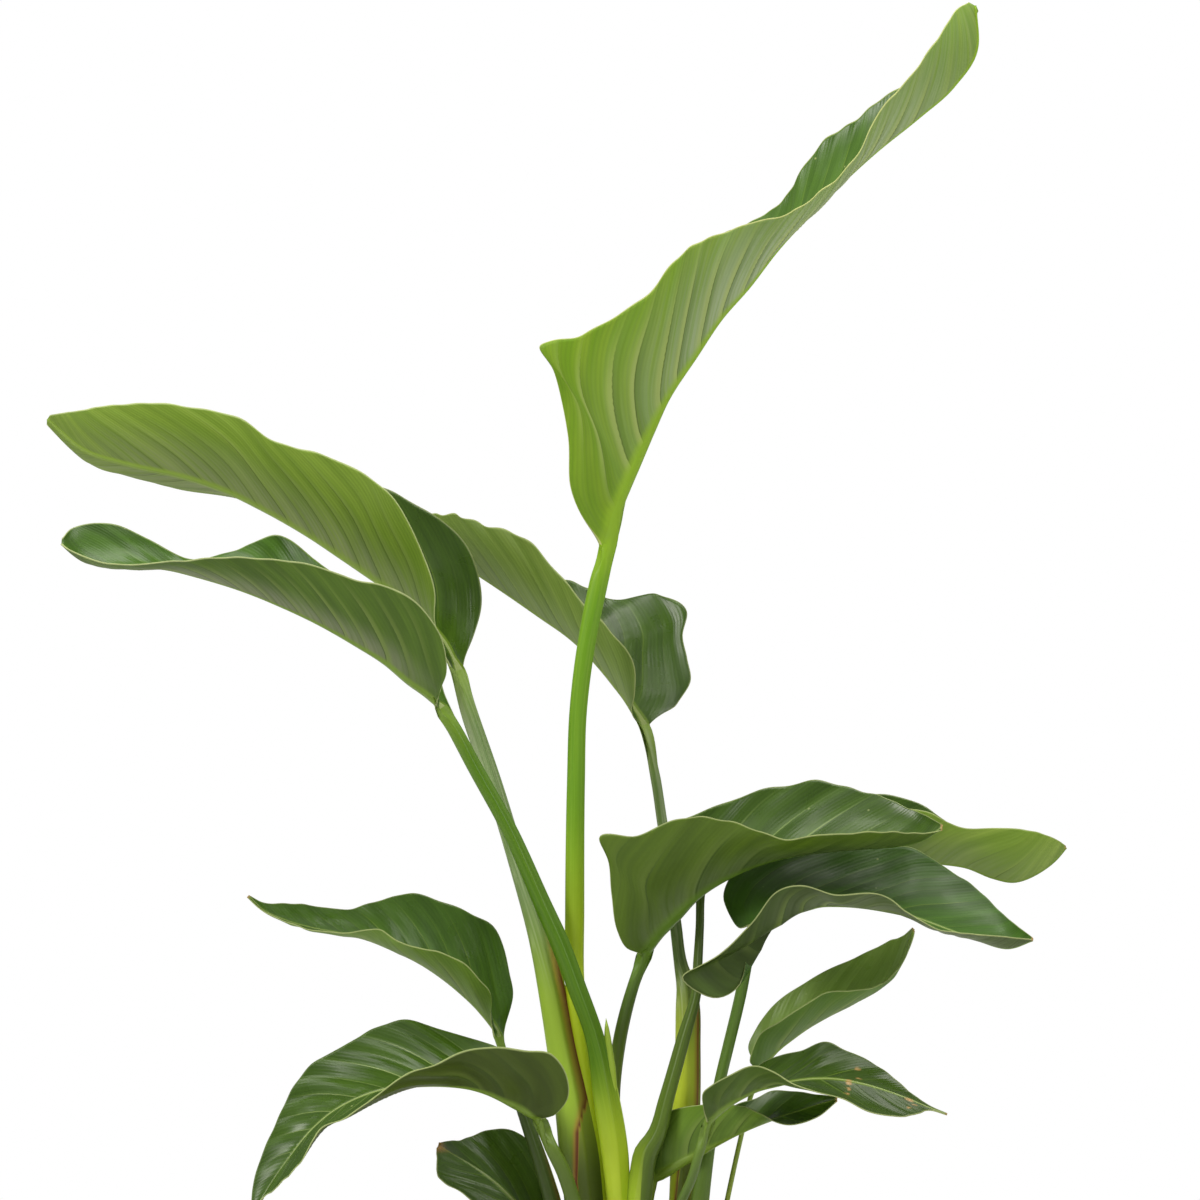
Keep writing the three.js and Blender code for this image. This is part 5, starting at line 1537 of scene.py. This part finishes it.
@dataclass
class PottingSoil:
    """The potful of soil: a mounded, uneven surface with loose crumbs and bark on it."""

    wall_radius_at_top: float = 110.6 * MM
    wall_radius_at_foot: float = 83.6 * MM
    bottom: float = 3.4 * MM
    top: float = 184 * MM
    mound: float = 3.2 * MM
    bump_height: float = 1.6 * MM
    bump_scale: float = 55.0  # bumps about 18 mm wide
    rings: int = 40
    steps: int = 120
    crumbs: int = 520
    crumb_span: Span = (0.9, 2.6)  # smallest and largest, in millimetres
    chips: int = 60
    chip_span: Span = (3.0, 5.5)
    litter_margin: float = 5 * MM  # from the wall
    roughness: float = 0.16  # how far a crumb's corners stray, in shares of its size
    seed: int = 29

    def surface_height(self, x: float, y: float) -> float:
        """Gives the height of the soil's surface, which is level along the wall.

        Args:
            x: Position along X, in metres.
            y: Position along Y, in metres.

        Returns:
            The height, in metres.
        """
        inward = max(0.0, 1 - math.hypot(x, y) / self.wall_radius_at_top)
        bumps = noise.fractal(Vector((x, y, 0.3)) * self.bump_scale, 1.0, 2.0, 4) * self.bump_height
        mound = self.mound * math.sin(inward * math.pi / 2)
        return self.top + mound + bumps * min(1.0, inward * 12)

    def build(self) -> list[Piece]:
        """Builds the soil and the crumbs and chips on it.

        Returns:
            The pieces.
        """
        material = SoilFinish().material()
        bm = bmesh.new()
        radii = np.linspace(self.wall_radius_at_top, 0, self.rings)
        foot = [(0, self.bottom), (self.wall_radius_at_foot, self.bottom)]
        spun(bm, foot + [(radius, self.top) for radius in radii], self.steps)
        for vert in bm.verts:
            if vert.co.z > self.top - 1 * MM:
                vert.co.z = self.surface_height(vert.co.x, vert.co.y)
        face_outwards(bm)
        soil = plant_piece(bm, "soil_surface", [material])
        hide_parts("soil")
        litter = self.build_litter(material)
        return [soil, litter]

    def build_litter(self, material: Material) -> Piece:
        """Scatters crumbs and bark chips over the surface as one piece.

        Args:
            material: The soil's material.

        Returns:
            The litter.
        """
        rng = random.Random(self.seed)
        bm = bmesh.new()
        for index in range(self.crumbs + self.chips):
            reach = (self.wall_radius_at_top - self.litter_margin) * math.sqrt(rng.random())
            turn = rng.uniform(0, 2 * math.pi)
            x, y = reach * math.cos(turn), reach * math.sin(turn)
            is_chip = index >= self.crumbs
            size = rng.uniform(*(self.chip_span if is_chip else self.crumb_span)) * MM
            flat = (1.0, rng.uniform(0.35, 0.6), 0.22) if is_chip else (1.0, 0.85, 0.7)
            tilt = Euler((rng.uniform(-0.3, 0.3), rng.uniform(-0.3, 0.3), rng.uniform(0, 6.3)))
            height = self.surface_height(x, y) + size * flat[2] * 0.4
            place = Matrix.LocRotScale(Vector((x, y, height)), tilt, Vector(flat) * size)
            made = bmesh.ops.create_icosphere(bm, subdivisions=1, radius=1.0, matrix=place)
            stray = self.roughness
            for vert in made["verts"]:
                vert.co += Vector([rng.uniform(-stray, stray) * size * f for f in flat])
        return plant_piece(bm, "soil_litter", [material])


@dataclass
class NurseryPot:
    """A plain round pot with a rim band, rounded edges and a ring of drain holes."""

    height: float = 210 * MM
    rim_radius: float = 120 * MM
    foot_radius: float = 86 * MM
    foot_chamfer: float = 3 * MM
    wall: float = 2.4 * MM
    floor: float = 3 * MM
    band_height: float = 18 * MM
    band_step: float = 3 * MM
    drain_holes: int = 8
    drain_radius: float = 6 * MM
    drain_circle: float = 58 * MM
    drain_margin: float = 14 * MM  # from the holes' circle to the flat fill's edge
    edge_round: float = 0.7 * MM
    sharp_angle: float = math.radians(25)
    steps: int = 144
    hole_steps: int = 24

    def wall_radius(self, height: float) -> float:
        """Gives the outside radius of the wall under the rim band.

        Args:
            height: Height above the floor, in metres.

        Returns:
            The radius, in metres.
        """
        top = self.rim_radius - self.band_step
        return self.foot_radius + (top - self.foot_radius) * height / self.height

    def profile(self) -> list[Span]:
        """Lists the wall's outline, from the floor's underside round to its upper side.

        Returns:
            Radius and height of each corner.
        """
        band = self.height - self.band_height
        fill = self.drain_circle + self.drain_margin
        return [
            (fill, 0),
            (self.foot_radius - self.foot_chamfer, 0),
            (self.wall_radius(self.foot_chamfer), self.foot_chamfer),
            (self.wall_radius(band - self.band_step), band - self.band_step),
            (self.rim_radius, band),
            (self.rim_radius, self.height),
            (self.wall_radius(self.height) - self.wall, self.height),
            (self.wall_radius(self.floor) - self.wall, self.floor),
            (fill, self.floor),
        ]

    def build(self) -> Piece:
        """Builds the pot.

        Returns:
            The pot.
        """
        bm = bmesh.new()
        spun(bm, self.profile(), self.steps)
        self.add_floor(bm)
        face_outwards(bm)
        inner = [edge for edge in bm.edges if len(edge.link_faces) == 2]
        bmesh.ops.bevel(
            bm,
            geom=[edge for edge in inner if edge.calc_face_angle(0) > self.sharp_angle],
            offset=self.edge_round,
            offset_type="OFFSET",
            segments=3,
            profile=0.5,
            affect="EDGES",
            material=-1,
        )
        pot = plant_piece(bm, "nursery_pot", [PotFinish().material()])
        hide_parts("pot")
        return pot

    def add_floor(self, bm: Mesh) -> None:
        """Fills both sides of the floor round the drain holes and lines the holes.

        Args:
            bm: The pot's mesh, open in the middle of its floor.
        """
        turns = [2 * math.pi * hole / self.drain_holes for hole in range(self.drain_holes)]
        centres = [Vector((math.cos(turn), math.sin(turn))) * self.drain_circle for turn in turns]
        for height in (0.0, self.floor):
            rings = [
                edge
                for edge in bm.edges
                if edge.is_boundary and all(abs(v.co.z - height) < 1e-6 for v in edge.verts)
            ]
            for centre in centres:
                made = bmesh.ops.create_circle(
                    bm,
                    cap_ends=False,
                    segments=self.hole_steps,
                    radius=self.drain_radius,
                    matrix=Matrix.Translation((*centre, height)),
                )
                rings += dict.fromkeys(edge for vert in made["verts"] for edge in vert.link_edges)
            bmesh.ops.triangle_fill(bm, use_beauty=True, use_dissolve=False, edges=rings)
        reach = self.drain_radius + 0.01 * MM
        for centre in centres:
            rims = [
                edge
                for edge in bm.edges
                if edge.is_boundary and all((v.co.xy - centre).length < reach for v in edge.verts)
            ]
            bmesh.ops.bridge_loops(bm, edges=rims)


# ---- Set ----


@dataclass(frozen=True)
class Softbox:
    """A square area light that faces the plant's middle; place and side in metres."""

    name: str
    place: Triple
    side: float
    watts: float

    def build(self, colour: Triple, aim: Triple) -> None:
        """Hangs the light, out of the camera's sight.

        Args:
            colour: The light's linear colour.
            aim: The point it faces, in metres.
        """
        light = bpy.data.lights.new(self.name, "AREA")
        light.shape = "SQUARE"
        light.size = self.side
        light.energy = self.watts
        light.color = colour
        holder = placed(self.name, light)
        holder.location = self.place
        holder.visible_camera = False
        facing = Vector(aim) - Vector(self.place)
        holder.rotation_euler = facing.to_track_quat("-Z", "Y").to_euler()


@dataclass
class Studio:
    """Pale floor, soft lights and the camera."""

    floor_radius: float = 2.6
    floor_colour: str = "ececeb"
    floor_drop: float = 0.2 * MM  # below the pot's foot
    camera_place: Triple = (-0.03, -12.0, 0.735)
    lens: float = 480.0
    sensor_width: float = 36.0
    sight: float = 60.0
    white: str = "ffffff"
    warm: str = "fffcf6"
    room_span: Span = (0.1, 0.42)  # strength of the room's light from below and from above
    aim: Triple = (0.0, 0.0, 0.7)
    softboxes: tuple[Softbox, ...] = (
        Softbox("key", (-3.0, -2.2, 3.0), 1.7, 105.0),
        Softbox("fill", (3.0, -1.4, 2.2), 1.6, 38.0),
        Softbox("top", (0.2, -0.2, 3.3), 1.8, 42.0),
    )

    def build(self) -> None:
        """Sets the floor, world, lights and camera up."""
        self.build_floor()
        self.light_world()
        for softbox in self.softboxes:
            softbox.build(linear(self.warm)[:3], self.aim)
        self.place_camera()

    def build_floor(self) -> None:
        """Lays a pale matt disc under the pot."""
        bm = bmesh.new()
        bmesh.ops.create_circle(bm, cap_ends=True, segments=96, radius=self.floor_radius)
        material, tree = new_material("pale studio floor")
        finish_material(tree, linear(self.floor_colour), 0.8, 1.5)
        floor = object_from(bm, "studio_floor", [material])
        floor.location.z = -self.floor_drop

    def light_world(self) -> None:
        """Shows a white backdrop, while the room round the plant stays dimmer, darkest below."""
        world = bpy.data.worlds.new("studio")
        world.use_nodes = True
        tree = world.node_tree
        tree.nodes.clear()
        where = add_node(tree, "TexCoord").outputs["Generated"]
        height = add_node(tree, "SeparateXYZ", {0: where}).outputs[2]
        room = faded(tree, Fade(height, -0.6, 1.0, *self.room_span))
        seen = add_node(tree, "LightPath").outputs["Is Camera Ray"]
        strength = add_node(tree, "Mix", {0: seen, 2: room, 3: 1.0}, data_type="FLOAT").outputs[0]
        tint = painted(tree, self.warm, [Coat(self.white, seen)])
        light = add_node(tree, "Background", {"Color": tint, "Strength": strength})
        add_node(tree, "OutputWorld", {"Surface": light.outputs[0]})
        bpy.context.scene.world = world
        bpy.context.scene.view_settings.view_transform = "Standard"

    def place_camera(self) -> None:
        """Looks along +Y, level, from far enough away to keep the leaves' sizes true."""
        camera = bpy.data.cameras.new("view")
        camera.sensor_width = self.sensor_width
        camera.lens = self.lens
        camera.clip_end = self.sight
        holder = placed("view", camera)
        holder.location = self.camera_place
        holder.rotation_euler = (math.pi / 2, 0, 0)
        bpy.context.scene.camera = holder


def main() -> None:
    """Builds every piece in order."""
    logging.basicConfig(level=logging.INFO, format="%(name)s: %(message)s")
    NurseryPot().build()
    LOG.info("pot built")
    PottingSoil().build()
    LOG.info("soil built")
    for seed, plan in enumerate(LEAVES):
        leaf = Leaf(plan, FINISHES.get(plan.name, MATURE), seed).build()
        LOG.info("%s built, %d faces", leaf.name, len(leaf.data.polygons))
    Studio().build()


if __name__ == "__main__":
    main()
